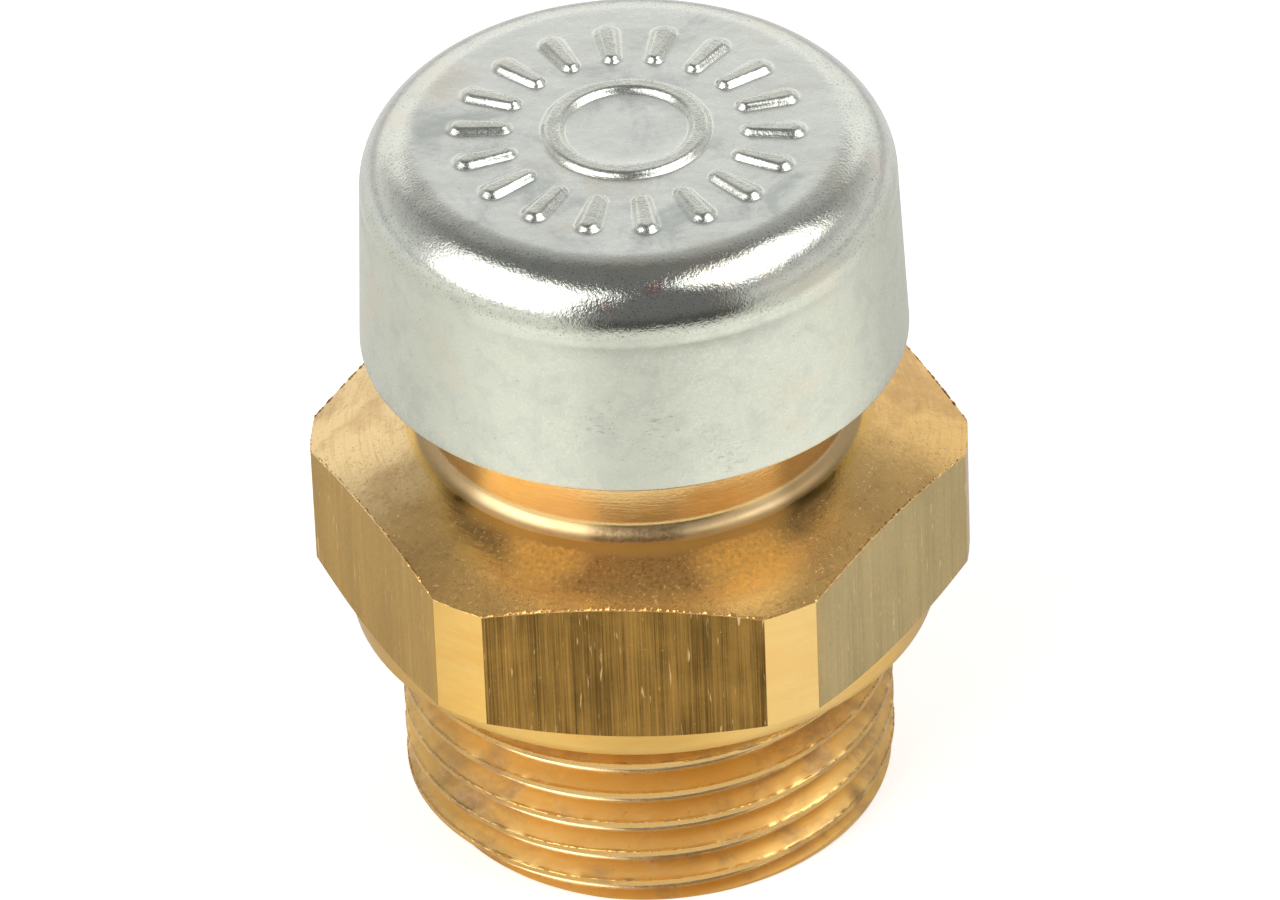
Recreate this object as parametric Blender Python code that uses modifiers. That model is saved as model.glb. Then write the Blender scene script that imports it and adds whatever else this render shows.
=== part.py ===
"""Vent screw for a gearbox: a brass screw plug with a loose pressed-steel cap over a spring-loaded valve.

Metres, +Z up. The origin is on the thread's axis, at the free end of the thread.
"""

import math

import bmesh
import bpy
from mathutils import Matrix, Vector

MM = 0.001

# Fits between the pieces
SEAT_GAP = 0.05 * MM
GUIDE_GAP = 0.25 * MM
HOOK_PLAY = 0.1 * MM
HOOK_CLEARANCE = 0.25 * MM
SPIDER_FIT = 0.2 * MM
BORE_FIT = 0.1 * MM

# Screwed end of the body, M20 x 1.5
THREAD_DIAMETER = 20.0 * MM
THREAD_LENGTH = 9.25 * MM
THREAD_CHAMFER = 0.4 * MM
THREAD_DEPTH = 0.92 * MM
RELIEF_WIDTH = 1.0 * MM
RELIEF_INTO_FACE = 0.2 * MM

# Spanner hexagon and the collar below it
COLLAR_DIAMETER = 23.8 * MM
COLLAR_HEIGHT = 1.03 * MM
HEX_ACROSS_FLATS = 24.0 * MM
HEX_CORNER_DIAMETER = 26.5 * MM
HEX_CORNER_HEIGHT = 5.35 * MM
UNDER_SLOPE = math.radians(25)
TOP_SLOPE = math.radians(19)

# Neck, its retaining bead and the valve seat on its top
NECK_DIAMETER = 17.0 * MM
NECK_LENGTH = 7.1 * MM
NECK_FILLET = 0.8 * MM
NECK_WALL = 2.1 * MM
NECK_ROOF = 3.0 * MM
BEAD_OVERHANG = 0.6 * MM
BEAD_THICKNESS = 1.1 * MM
BEAD_CHAMFER = 0.4 * MM
SEAT_BORE_DIAMETER = 6.8 * MM
SEAT_LIP_WIDTH = 0.8 * MM
SEAT_LIP_HEIGHT = 0.4 * MM

# Valve: rubber seal, pressed disc and conical spring
SEAL_THICKNESS = 1.2 * MM
SEAL_OVERLAP = 2.4 * MM
SEAL_HOLE_DIAMETER = 4.0 * MM
DISC_SHEET = 0.5 * MM
DISC_SKIRT = 0.9 * MM
DISC_BOSS_DIAMETER = 5.0 * MM
DISC_BOSS_HEIGHT = 0.5 * MM
SPRING_WIRE = 0.5 * MM
SPRING_HEIGHT = 3.3 * MM
SPRING_LOW_DIAMETER = 11.0 * MM
SPRING_TOP_DIAMETER = 6.4 * MM
SPRING_TURNS = 3.5
SPRING_END_TURNS = 0.75

# Cap and the spring-steel spider that holds it on the neck
CAP_WALL = 0.8 * MM
CAP_HEIGHT = 9.65 * MM
CAP_CORNER_RADIUS = 2.4 * MM
CAP_FLARE = 0.3 * MM
EMBOSS_DIAMETER = 5.86 * MM
EMBOSS_WIDTH = 0.3 * MM
EMBOSS_HEIGHT = 0.2 * MM
SPIDER_SHEET = 0.35 * MM
SPIDER_DISC_DIAMETER = 13.0 * MM
SPIDER_LEG_WIDTH = 3.2 * MM
SPIDER_LEGS = 4
SPIDER_HOOK_BEND = 0.5 * MM

# Filter in the neck, held by a wire ring
SCREEN_SHEET = 0.5 * MM
SCREEN_HOLE_DIAMETER = 1.3 * MM
SCREEN_HOLE_PITCH = 2.3 * MM
SCREEN_HOLE_ROWS = 2
PAD_LENGTH = 11.0 * MM
PAD_EDGE_RADIUS = 0.8 * MM
RING_WIRE = 0.9 * MM
RING_SHOW = 0.45 * MM
RING_OPENING = math.radians(28)
GROOVE_PLAY = 0.05 * MM

# Splash guard in the end of the thread, held by a second wire ring
GUARD_SHOULDER = 1.0 * MM
GUARD_SHEET = 0.8 * MM
GUARD_DISH_DEPTH = 0.9 * MM
GUARD_RIM_WIDTH = 1.3 * MM
GUARD_HOLE_DIAMETER = 2.2 * MM
GUARD_HOLES = 5
GUARD_SETBACK = 4.8 * MM
MOUTH_CHAMFER = 0.3 * MM

# Faceting, and the angle past which an edge is drawn sharp
ROUND_STEPS = 60
INNER_STEPS = 40
ARC_STEPS = 4
WIRE_STEPS = 16
SHARP_ANGLE = math.radians(30)

# Radii that follow from the sizes above
thread_r = THREAD_DIAMETER / 2
collar_r = COLLAR_DIAMETER / 2
corner_r = HEX_CORNER_DIAMETER / 2
neck_r = NECK_DIAMETER / 2
bead_r = neck_r + BEAD_OVERHANG
leg_in_r = bead_r + GUIDE_GAP
leg_out_r = leg_in_r + SPIDER_SHEET
cap_top_r = leg_out_r + SPIDER_FIT + CAP_WALL
cap_rim_r = cap_top_r + CAP_FLARE
seat_bore_r = SEAT_BORE_DIAMETER / 2
lip_r = seat_bore_r + SEAT_LIP_WIDTH
filter_bore_r = neck_r - NECK_WALL
guard_bore_r = filter_bore_r + GUARD_SHOULDER
seal_r = lip_r + SEAL_OVERLAP
ring_groove_depth = RING_WIRE - RING_SHOW + GROOVE_PLAY

# Heights that follow, from the free end of the thread upwards
collar_top_z = THREAD_LENGTH + COLLAR_HEIGHT
corner_low_z = collar_top_z + (corner_r - collar_r) * math.tan(UNDER_SLOPE)
corner_high_z = corner_low_z + HEX_CORNER_HEIGHT
neck_foot_z = corner_high_z + (corner_r - neck_r) * math.tan(TOP_SLOPE)
seat_z = neck_foot_z + NECK_LENGTH
neck_face_z = seat_z - SEAT_LIP_HEIGHT
bead_under_z = neck_face_z - BEAD_THICKNESS
roof_z = seat_z - NECK_ROOF
seal_low_z = seat_z + SEAT_GAP
disc_low_z = seal_low_z + SEAL_THICKNESS + SEAT_GAP
disc_top_z = disc_low_z + DISC_SHEET
spring_low_z = disc_top_z + SEAT_GAP
spring_top_z = spring_low_z + SPRING_HEIGHT
spider_low_z = spring_top_z + SEAT_GAP
spider_top_z = spider_low_z + SPIDER_SHEET
cap_top_z = spider_top_z + SEAT_GAP + CAP_WALL
hook_low_z = bead_under_z - HOOK_PLAY - SPIDER_SHEET

# Heights inside the bore: the filter hangs from the roof, the guard sits above its ring
upper_screen_z = roof_z - SEAT_GAP - SCREEN_SHEET
pad_low_z = upper_screen_z - SEAT_GAP - PAD_LENGTH
lower_screen_z = pad_low_z - SEAT_GAP - SCREEN_SHEET
filter_ring_z = lower_screen_z - SEAT_GAP - RING_WIRE / 2
guard_ring_z = GUARD_SETBACK + GROOVE_PLAY + RING_WIRE / 2
guard_low_z = guard_ring_z + RING_WIRE / 2 + SEAT_GAP
guard_shoulder_z = guard_low_z + GUARD_SHEET + SEAT_GAP

PARTS = "vent_screw"
CUTTERS = "vent_screw_cutters"


def clear_scene():
    """Removes every object and makes the two collections."""
    for obj in list(bpy.data.objects):
        bpy.data.objects.remove(obj, do_unlink=True)
    for name in (PARTS, CUTTERS):
        collection = bpy.data.collections.new(name)
        bpy.context.scene.collection.children.link(collection)


def principled(name, colour, roughness, metallic):
    """A plain Principled BSDF material."""
    material = bpy.data.materials.new(name)
    material.use_nodes = True
    shader = material.node_tree.nodes["Principled BSDF"]
    shader.inputs["Base Color"].default_value = (*colour, 1.0)
    shader.inputs["Roughness"].default_value = roughness
    shader.inputs["Metallic"].default_value = metallic
    return material


def link(obj, collection):
    """Puts the object in one collection only."""
    for old in list(obj.users_collection):
        old.objects.unlink(obj)
    bpy.data.collections[collection].objects.link(obj)
    return obj


def bake(obj):
    """Turns the modifiers into mesh, smooth on its round faces and sharp on its edges."""
    bpy.context.view_layer.update()
    graph = bpy.context.evaluated_depsgraph_get()
    mesh = bpy.data.meshes.new_from_object(obj.evaluated_get(graph))
    obj.modifiers.clear()
    obj.data = mesh
    mesh.shade_smooth()
    mesh.set_sharp_from_angle(angle=SHARP_ANGLE)


def as_part(obj, name, material):
    """Names a finished piece and gives it its material."""
    if obj.type == "MESH":
        bake(obj)
    obj.name = name
    obj.data.name = name
    obj.data.materials.clear()
    obj.data.materials.append(material)
    return link(obj, PARTS)


def as_cutter(obj, name):
    """A helper that shapes another piece and isn't rendered."""
    obj.name = name
    obj.hide_render = True
    obj.display_type = "WIRE"
    return link(obj, CUTTERS)


def arc(centre, radius, start, end, steps=ARC_STEPS):
    """Points (r, z) on an arc of the half section, angles in degrees from +r towards +z."""
    points = []
    for i in range(steps + 1):
        angle = math.radians(start + (end - start) * i / steps)
        points.append((centre[0] + radius * math.cos(angle), centre[1] + radius * math.sin(angle)))
    return points


def turned(name, profile, closed, steps=ROUND_STEPS):
    """Spins a half section (r, z) about Z. It runs down its outer side."""
    mesh = bpy.data.meshes.new(name)
    count = len(profile)
    edges = [(i, i + 1) for i in range(count - 1)]
    if closed:
        edges.append((count - 1, 0))
    mesh.from_pydata([(r, 0.0, z) for r, z in profile], edges, [])
    obj = bpy.data.objects.new(name, mesh)
    bpy.data.collections[PARTS].objects.link(obj)
    screw = obj.modifiers.new("Turn", "SCREW")
    screw.axis = "Z"
    screw.steps = steps
    screw.render_steps = steps
    screw.use_merge_vertices = True
    screw.merge_threshold = 1e-6
    return obj


def pressed(name, outer_profile, sheet, steps=ROUND_STEPS):
    """A round sheet pressing: the outer face as a half section, with the sheet inside it."""
    obj = turned(name, outer_profile, closed=False, steps=steps)
    wall = obj.modifiers.new("Sheet", "SOLIDIFY")
    wall.thickness = sheet
    wall.offset = -1.0
    wall.use_even_offset = True
    return obj


def boolean(obj, tool, operation):
    """Cuts, joins or intersects obj with tool."""
    modifier = obj.modifiers.new(tool.name, "BOOLEAN")
    modifier.operation = operation
    modifier.object = tool
    modifier.solver = "EXACT"


def cylinder_cutter(name, radius, low_z, high_z, vertices=ROUND_STEPS, turn=0.0):
    """An upright cylinder or prism used as a helper."""
    bpy.ops.mesh.primitive_cylinder_add(
        vertices=vertices,
        radius=radius,
        depth=high_z - low_z,
        location=(0.0, 0.0, (low_z + high_z) / 2),
        rotation=(0.0, 0.0, turn),
    )
    return as_cutter(bpy.context.object, name)


def ring_profile(outer_r, inner_r, low_z, high_z):
    """Half section of a plain flat ring."""
    return [(outer_r, high_z), (outer_r, low_z), (inner_r, low_z), (inner_r, high_z)]


def hex_body(brass):
    """Screw plug in one piece: thread, collar, hexagon, neck with bead, and the stepped bore."""
    root_r = thread_r - THREAD_DEPTH
    relief_low_z = THREAD_LENGTH - RELIEF_WIDTH
    fillet_turn = 90 - math.degrees(TOP_SLOPE)
    fillet_r = neck_r + NECK_FILLET
    fillet_drop = NECK_FILLET * math.tan(math.radians(fillet_turn / 2))
    filter_groove = filter_bore_r + ring_groove_depth
    guard_groove = guard_bore_r + ring_groove_depth
    half_groove = RING_WIRE / 2 + GROOVE_PLAY
    outside = [
        (bead_r - BEAD_CHAMFER, neck_face_z),
        (bead_r, neck_face_z - BEAD_CHAMFER),
        (bead_r, bead_under_z),
        (neck_r, bead_under_z),
        *arc((fillet_r, neck_foot_z + fillet_drop), NECK_FILLET, 180, 180 + fillet_turn),
        (corner_r, corner_high_z),
        (corner_r, corner_low_z),
        (collar_r, collar_top_z),
        (collar_r, THREAD_LENGTH),
        (thread_r + RELIEF_INTO_FACE, THREAD_LENGTH),
        (root_r, THREAD_LENGTH + RELIEF_INTO_FACE),
        (root_r, relief_low_z),
        (thread_r, relief_low_z - THREAD_DEPTH),
        (thread_r, THREAD_CHAMFER),
        (thread_r - THREAD_CHAMFER, 0.0),
    ]
    bore = [
        (guard_bore_r + MOUTH_CHAMFER, 0.0),
        (guard_bore_r, MOUTH_CHAMFER),
        (guard_bore_r, guard_ring_z - half_groove),
        (guard_groove, guard_ring_z - half_groove),
        (guard_groove, guard_ring_z + half_groove),
        (guard_bore_r, guard_ring_z + half_groove),
        (guard_bore_r, guard_shoulder_z),
        (filter_bore_r, guard_shoulder_z),
        (filter_bore_r, filter_ring_z - half_groove),
        (filter_groove, filter_ring_z - half_groove),
        (filter_groove, filter_ring_z + half_groove),
        (filter_bore_r, filter_ring_z + half_groove),
        (filter_bore_r, roof_z),
        (seat_bore_r, roof_z),
    ]
    seat = [
        (seat_bore_r, seat_z),
        (lip_r - SEAT_LIP_HEIGHT / 2, seat_z),
        (lip_r, neck_face_z),
    ]
    body = turned("hex_body", outside + bore + seat, closed=True)
    bar = cylinder_cutter(
        "hexagon_bar",
        HEX_ACROSS_FLATS / math.sqrt(3),
        -COLLAR_HEIGHT,
        seat_z + COLLAR_HEIGHT,
        vertices=6,
        turn=math.radians(30),
    )
    boolean(body, bar, "INTERSECT")
    return as_part(body, "hex_body", brass)


def cap(zinc):
    """Deep-drawn cup: flat top with an embossed ring, rounded shoulder and a slightly flared side."""
    crown = (cap_top_r - CAP_CORNER_RADIUS, cap_top_z - CAP_CORNER_RADIUS)
    rim_z = cap_top_z - CAP_HEIGHT
    crest_in_r = (EMBOSS_DIAMETER - EMBOSS_WIDTH) / 2
    crest_out_r = (EMBOSS_DIAMETER + EMBOSS_WIDTH) / 2
    profile = [
        (0.0, cap_top_z),
        (crest_in_r - EMBOSS_HEIGHT, cap_top_z),
        (crest_in_r, cap_top_z + EMBOSS_HEIGHT),
        (crest_out_r, cap_top_z + EMBOSS_HEIGHT),
        (crest_out_r + EMBOSS_HEIGHT, cap_top_z),
        *arc(crown, CAP_CORNER_RADIUS, 90, 0, 2 * ARC_STEPS),
        (cap_rim_r, rim_z),
        (cap_rim_r - CAP_WALL, rim_z),
        *arc(crown, CAP_CORNER_RADIUS - CAP_WALL, 0, 90, 3),
        (0.0, cap_top_z - CAP_WALL),
    ]
    return as_part(turned("cap", profile, closed=False), "cap", zinc)


def cap_spider(steel):
    """Cup of spring steel under the cap's top, cut to legs whose hooks catch under the neck's bead."""
    bend = CAP_CORNER_RADIUS - CAP_WALL
    profile = [
        (0.0, spider_top_z),
        *arc((leg_out_r - bend, spider_top_z - bend), bend, 90, 0),
        *arc((leg_out_r - SPIDER_HOOK_BEND, hook_low_z + SPIDER_HOOK_BEND), SPIDER_HOOK_BEND, 0, -90, 3),
        (neck_r + HOOK_CLEARANCE, hook_low_z),
    ]
    spider = pressed("cap_spider", profile, SPIDER_SHEET)
    low_z = hook_low_z - SPIDER_SHEET
    high_z = spider_top_z + SPIDER_SHEET
    outline = cylinder_cutter("spider_outline", SPIDER_DISC_DIAMETER / 2, low_z, high_z)
    for i in range(SPIDER_LEGS):
        bpy.ops.mesh.primitive_cube_add(size=1.0)
        strip = as_cutter(bpy.context.object, f"spider_leg_strip_{i + 1}")
        reach = leg_out_r + SPIDER_SHEET
        strip.data.transform(Matrix.Diagonal((reach, SPIDER_LEG_WIDTH, high_z - low_z - SPIDER_SHEET, 1)))
        strip.data.transform(Matrix.Translation((reach / 2, 0.0, (low_z + high_z) / 2)))
        strip.rotation_euler.z = 2 * math.pi * (i + 0.5) / SPIDER_LEGS
        boolean(outline, strip, "UNION")
    boolean(spider, outline, "INTERSECT")
    return as_part(spider, "cap_spider", steel)


def valve_seal(rubber):
    """Flat rubber ring that closes on the lip of the seat."""
    profile = ring_profile(seal_r, SEAL_HOLE_DIAMETER / 2, seal_low_z, seal_low_z + SEAL_THICKNESS)
    return as_part(turned("valve_seal", profile, closed=True, steps=INNER_STEPS), "valve_seal", rubber)


def valve_disc(steel):
    """Pressed hat over the seal: a boss inside the spring, a skirt, and a flange guided by the legs."""
    boss_r = DISC_BOSS_DIAMETER / 2
    skirt_r = seal_r + SEAT_GAP + DISC_SHEET
    flange_z = disc_top_z - DISC_SKIRT
    profile = [
        (0.0, disc_top_z + DISC_BOSS_HEIGHT),
        (boss_r - DISC_BOSS_HEIGHT, disc_top_z + DISC_BOSS_HEIGHT),
        (boss_r, disc_top_z),
        *arc((skirt_r - DISC_SHEET, disc_top_z - DISC_SHEET), DISC_SHEET, 90, 0, 3),
        (skirt_r, flange_z),
        (leg_in_r - GUIDE_GAP, flange_z),
    ]
    return as_part(pressed("valve_disc", profile, DISC_SHEET, INNER_STEPS), "valve_disc", steel)


def wire(name, points, diameter, material):
    """A round wire along points, with closed ends."""
    curve = bpy.data.curves.new(name, "CURVE")
    curve.dimensions = "3D"
    curve.bevel_depth = diameter / 2
    curve.bevel_resolution = 2
    curve.use_fill_caps = True
    spline = curve.splines.new("POLY")
    spline.points.add(len(points) - 1)
    for point, place in zip(spline.points, points):
        point.co = (*place, 1.0)
    obj = bpy.data.objects.new(name, curve)
    bpy.data.collections[PARTS].objects.link(obj)
    return as_part(obj, name, material)


def valve_spring(steel):
    """Conical compression spring with a flat end turn at each end."""
    low_z = spring_low_z + SPRING_WIRE / 2
    high_z = spring_top_z - SPRING_WIRE / 2
    low_r = (SPRING_LOW_DIAMETER - SPRING_WIRE) / 2
    top_r = (SPRING_TOP_DIAMETER - SPRING_WIRE) / 2
    rising = SPRING_TURNS - 2 * SPRING_END_TURNS
    points = []
    for i in range(int(SPRING_TURNS * WIRE_STEPS) + 1):
        turn = i / WIRE_STEPS
        share = min(max((turn - SPRING_END_TURNS) / rising, 0.0), 1.0)
        radius = low_r + (top_r - low_r) * turn / SPRING_TURNS
        angle = 2 * math.pi * turn
        place = (radius * math.cos(angle), radius * math.sin(angle), low_z + (high_z - low_z) * share)
        points.append(place)
    return wire("valve_spring", points, SPRING_WIRE, steel)


def snap_ring(name, bore_r, z, steel):
    """Open wire ring that springs out into a groove of the bore."""
    radius = bore_r + RING_WIRE / 2 - RING_SHOW
    span = 2 * math.pi - RING_OPENING
    steps = 2 * WIRE_STEPS
    points = []
    for i in range(steps + 1):
        angle = RING_OPENING / 2 + span * i / steps
        points.append((radius * math.cos(angle), radius * math.sin(angle), z))
    return wire(name, points, RING_WIRE, steel)


def circle_spline(curve, centre, radius, steps):
    """Adds one closed circle to a flat outline."""
    spline = curve.splines.new("POLY")
    spline.points.add(steps - 1)
    spline.use_cyclic_u = True
    for i, point in enumerate(spline.points):
        angle = 2 * math.pi * i / steps
        offset = Vector((radius * math.cos(angle), radius * math.sin(angle)))
        point.co = (*(centre + offset), 0.0, 1.0)


def hole_centres():
    """Centres of a hexagonal pattern of holes about the axis."""
    centres = []
    for row in range(-SCREEN_HOLE_ROWS, SCREEN_HOLE_ROWS + 1):
        for column in range(-SCREEN_HOLE_ROWS, SCREEN_HOLE_ROWS + 1):
            if abs(row + column) > SCREEN_HOLE_ROWS:
                continue
            across = (column + row / 2) * SCREEN_HOLE_PITCH
            along = row * SCREEN_HOLE_PITCH * math.sqrt(3) / 2
            centres.append(Vector((across, along)))
    return centres


def screen(name, low_z, steel):
    """Perforated disc that holds the filter pad."""
    curve = bpy.data.curves.new(name, "CURVE")
    curve.dimensions = "2D"
    curve.fill_mode = "BOTH"
    curve.extrude = SCREEN_SHEET / 2
    circle_spline(curve, Vector((0.0, 0.0)), filter_bore_r - BORE_FIT, 3 * WIRE_STEPS)
    for centre in hole_centres():
        circle_spline(curve, centre, SCREEN_HOLE_DIAMETER / 2, WIRE_STEPS // 2)
    obj = bpy.data.objects.new(name, curve)
    bpy.data.collections[PARTS].objects.link(obj)
    obj.location.z = low_z + SCREEN_SHEET / 2
    return as_part(obj, name, steel)


def filter_pad(wool):
    """Pad of knitted wire between the screens."""
    radius = filter_bore_r - BORE_FIT
    edge = PAD_EDGE_RADIUS
    high_z = pad_low_z + PAD_LENGTH
    profile = [
        (0.0, high_z),
        *arc((radius - edge, high_z - edge), edge, 90, 0, 3),
        *arc((radius - edge, pad_low_z + edge), edge, 0, -90, 3),
        (0.0, pad_low_z),
    ]
    return as_part(turned("filter_pad", profile, closed=False, steps=INNER_STEPS), "filter_pad", wool)


def splash_guard(zinc):
    """Dished plate with holes round its slope, so that thrown oil meets the solid middle."""
    radius = guard_bore_r - BORE_FIT
    top_z = guard_low_z + GUARD_SHEET
    slope_out_r = radius - GUARD_RIM_WIDTH
    slope_in_r = slope_out_r - GUARD_HOLE_DIAMETER
    profile = [
        (0.0, top_z - GUARD_DISH_DEPTH),
        (slope_in_r, top_z - GUARD_DISH_DEPTH),
        (slope_out_r, top_z),
        (radius, top_z),
    ]
    guard = pressed("splash_guard", profile, GUARD_SHEET)
    for i in range(GUARD_HOLES):
        angle = 2 * math.pi * (i + 0.5) / GUARD_HOLES
        drill = cylinder_cutter(
            f"guard_hole_{i + 1}",
            GUARD_HOLE_DIAMETER / 2,
            -GUARD_SHEET,
            guard_shoulder_z + GUARD_SHEET,
            vertices=WIRE_STEPS,
        )
        middle_r = (slope_in_r + slope_out_r) / 2
        drill.location.x = middle_r * math.cos(angle)
        drill.location.y = middle_r * math.sin(angle)
        boolean(guard, drill, "DIFFERENCE")
    return as_part(guard, "splash_guard", zinc)


def main():
    clear_scene()
    brass = principled("turned_brass", (0.83, 0.60, 0.28), 0.28, 1.0)
    zinc = principled("zinc_plate", (0.76, 0.79, 0.77), 0.36, 1.0)
    spring_steel = principled("spring_steel", (0.56, 0.57, 0.58), 0.3, 1.0)
    stainless = principled("stainless_wire", (0.68, 0.68, 0.67), 0.4, 1.0)
    rubber = principled("nitrile_rubber", (0.025, 0.025, 0.027), 0.6, 0.0)

    hex_body(brass)
    cap(zinc)
    cap_spider(spring_steel)
    valve_seal(rubber)
    valve_disc(zinc)
    valve_spring(spring_steel)
    screen("upper_screen", upper_screen_z, stainless)
    filter_pad(stainless)
    screen("lower_screen", lower_screen_z, stainless)
    snap_ring("filter_ring", filter_bore_r, filter_ring_z, spring_steel)
    splash_guard(zinc)
    snap_ring("guard_ring", guard_bore_r, guard_ring_z, spring_steel)


main()
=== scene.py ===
"""Vent screw for a gearbox: a brass screw plug with a loose pressed-steel cap over a spring-loaded valve.

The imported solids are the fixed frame. The brass plug, the cap, the wire parts and the splash guard are
modelled again here in full detail, and the other solids keep their shape and get a finish of their own.
Lengths are in metres, and the plug stands on the free end of its thread with +Z towards the cap.
"""

from __future__ import annotations

import logging
import math
from collections.abc import Sequence
from dataclasses import dataclass
from enum import Enum

import bpy
import numpy as np
from mathutils import Matrix, Vector, noise

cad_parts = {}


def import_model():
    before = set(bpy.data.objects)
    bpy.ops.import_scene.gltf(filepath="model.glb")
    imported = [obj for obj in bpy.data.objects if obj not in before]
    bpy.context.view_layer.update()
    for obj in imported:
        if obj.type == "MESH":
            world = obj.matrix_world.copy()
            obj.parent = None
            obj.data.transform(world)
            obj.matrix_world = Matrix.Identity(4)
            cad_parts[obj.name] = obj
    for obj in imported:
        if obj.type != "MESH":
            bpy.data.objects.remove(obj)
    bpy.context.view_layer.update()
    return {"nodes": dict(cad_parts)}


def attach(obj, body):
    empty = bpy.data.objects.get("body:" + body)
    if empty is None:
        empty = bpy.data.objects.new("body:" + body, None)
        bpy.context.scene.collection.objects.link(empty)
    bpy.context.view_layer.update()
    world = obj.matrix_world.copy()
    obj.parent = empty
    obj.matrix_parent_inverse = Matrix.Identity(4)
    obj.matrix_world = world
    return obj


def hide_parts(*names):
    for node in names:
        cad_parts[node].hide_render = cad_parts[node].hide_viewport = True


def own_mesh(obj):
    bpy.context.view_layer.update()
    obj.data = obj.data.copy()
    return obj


LOG = logging.getLogger("vent_screw")
MM = 0.001
SAME_PLACE = 2e-6
FULL_TURN = 2 * math.pi
FRONT = -math.pi / 2

Profile = list[tuple[float, float]]
Colour = tuple[float, float, float]
Socket = bpy.types.NodeSocket
WHITE: Colour = (1.0, 1.0, 1.0)


class Body(Enum):
    """The bodies that new pieces ride on."""

    PLUG = "plug"
    CAP = "cap"


class Slot(Enum):
    """Names of the record's material slots for the new pieces; nothing in the script uses them."""

    BRASS = "body_brass"
    ZINC = "cap_zinc"
    SPRING = "spring_steel"
    DISC = "disc_zinc"


# Workshop: what every piece is made with


def clear_selection() -> None:
    """Leaves edit mode and deselects everything, because operators act on all that is selected."""
    if bpy.context.mode != "OBJECT":
        bpy.ops.object.mode_set(mode="OBJECT")
    bpy.ops.object.select_all(action="DESELECT")


def pick(obj: bpy.types.Object) -> None:
    """Makes obj the only selected object and the active one."""
    clear_selection()
    obj.select_set(True)
    bpy.context.view_layer.objects.active = obj


def start_vertex(name: str, place: tuple[float, float, float]) -> bpy.types.Object:
    """Adds a plane and merges it to one selected vertex, from which a section is extruded.

    Args:
        name: Name of the new object.
        place: Where the vertex goes.

    Returns:
        The object, in edit mode with its vertex selected.
    """
    clear_selection()
    bpy.ops.mesh.primitive_plane_add(size=MM, location=(0.0, 0.0, 0.0))
    obj = bpy.context.active_object
    obj.name = name
    bpy.ops.object.mode_set(mode="EDIT")
    bpy.ops.mesh.select_mode(type="VERT")
    bpy.ops.mesh.select_all(action="SELECT")
    bpy.ops.mesh.merge(type="CENTER")
    bpy.ops.transform.translate(value=place)
    return obj


def extruded_section(name: str, profile: Sequence[tuple[float, float]]) -> bpy.types.Object:
    """Extrudes one vertex along a half section in the XZ plane.

    Args:
        name: Name of the new object.
        profile: Points (radius, z) of the half section.

    Returns:
        The object, in edit mode.
    """
    obj = start_vertex(name, (profile[0][0], 0.0, profile[0][1]))
    for (r0, z0), (r1, z1) in zip(profile, profile[1:]):
        step = (r1 - r0, 0.0, z1 - z0)
        bpy.ops.mesh.extrude_region_move(TRANSFORM_OT_translate={"value": step})
    return obj


def turned(name: str, profile: Sequence[tuple[float, float]], steps: int) -> bpy.types.Object:
    """Spins a half section about Z, as on a lathe.

    Args:
        name: Name of the new object.
        profile: Points (radius, z) of the half section.
        steps: Number of segments round the axis.

    Returns:
        The turned object, in object mode.
    """
    obj = extruded_section(name, profile)
    bpy.ops.mesh.select_all(action="SELECT")
    bpy.ops.mesh.spin(
        steps=steps, angle=FULL_TURN, center=(0.0, 0.0, 0.0), axis=(0.0, 0.0, 1.0), use_auto_merge=False
    )
    weld(obj)
    return obj


def weld(obj: bpy.types.Object) -> None:
    """Merges doubles and turns every face outwards.

    Args:
        obj: The object to weld. It ends in object mode.
    """
    pick(obj)
    bpy.ops.object.mode_set(mode="EDIT")
    bpy.ops.mesh.select_all(action="SELECT")
    bpy.ops.mesh.remove_doubles(threshold=SAME_PLACE)
    bpy.ops.mesh.select_all(action="SELECT")
    bpy.ops.mesh.normals_make_consistent(inside=False)
    bpy.ops.object.mode_set(mode="OBJECT")


def smooth_by(obj: bpy.types.Object, degrees: float) -> None:
    """Shades smooth, with edges past an angle drawn sharp.

    Args:
        obj: The object to shade.
        degrees: Angle past which an edge is sharp.
    """
    pick(obj)
    bpy.ops.object.shade_smooth_by_angle(angle=math.radians(degrees))


def apply_modifiers(obj: bpy.types.Object) -> None:
    """Applies all modifiers of obj in their order."""
    pick(obj)
    for modifier in list(obj.modifiers):
        bpy.ops.object.modifier_apply(modifier=modifier.name)


def join(target: bpy.types.Object, others: Sequence[bpy.types.Object]) -> None:
    """Joins the others into target."""
    pick(target)
    for other in others:
        other.select_set(True)
    bpy.ops.object.join()


def read_points(obj: bpy.types.Object) -> np.ndarray:
    """The vertices of obj as an array of rows x, y, z."""
    points = np.empty(len(obj.data.vertices) * 3, np.float32)
    obj.data.vertices.foreach_get("co", points)
    return points.reshape(-1, 3).astype(float)


def write_points(obj: bpy.types.Object, points: np.ndarray) -> None:
    """Puts the vertices of obj back."""
    obj.data.vertices.foreach_set("co", points.astype(np.float32).ravel())
    obj.data.update()


def polar(points: np.ndarray) -> tuple[np.ndarray, np.ndarray]:
    """The radii and the angles about Z of rows x, y, z."""
    return np.hypot(points[:, 0], points[:, 1]), np.arctan2(points[:, 1], points[:, 0])


def write_polar(obj: bpy.types.Object, radius: np.ndarray, angle: np.ndarray, z: np.ndarray) -> None:
    """Puts the vertices of obj at radii, angles about Z and heights."""
    write_points(obj, np.column_stack((radius * np.cos(angle), radius * np.sin(angle), z)))


def from_middle(angle: np.ndarray, count: int, first: float = 0.0) -> np.ndarray:
    """Angles from the middle of the nearest of count even sectors, where first is one such middle."""
    sector = FULL_TURN / count
    return (angle - first + sector / 2) % sector - sector / 2


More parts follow.
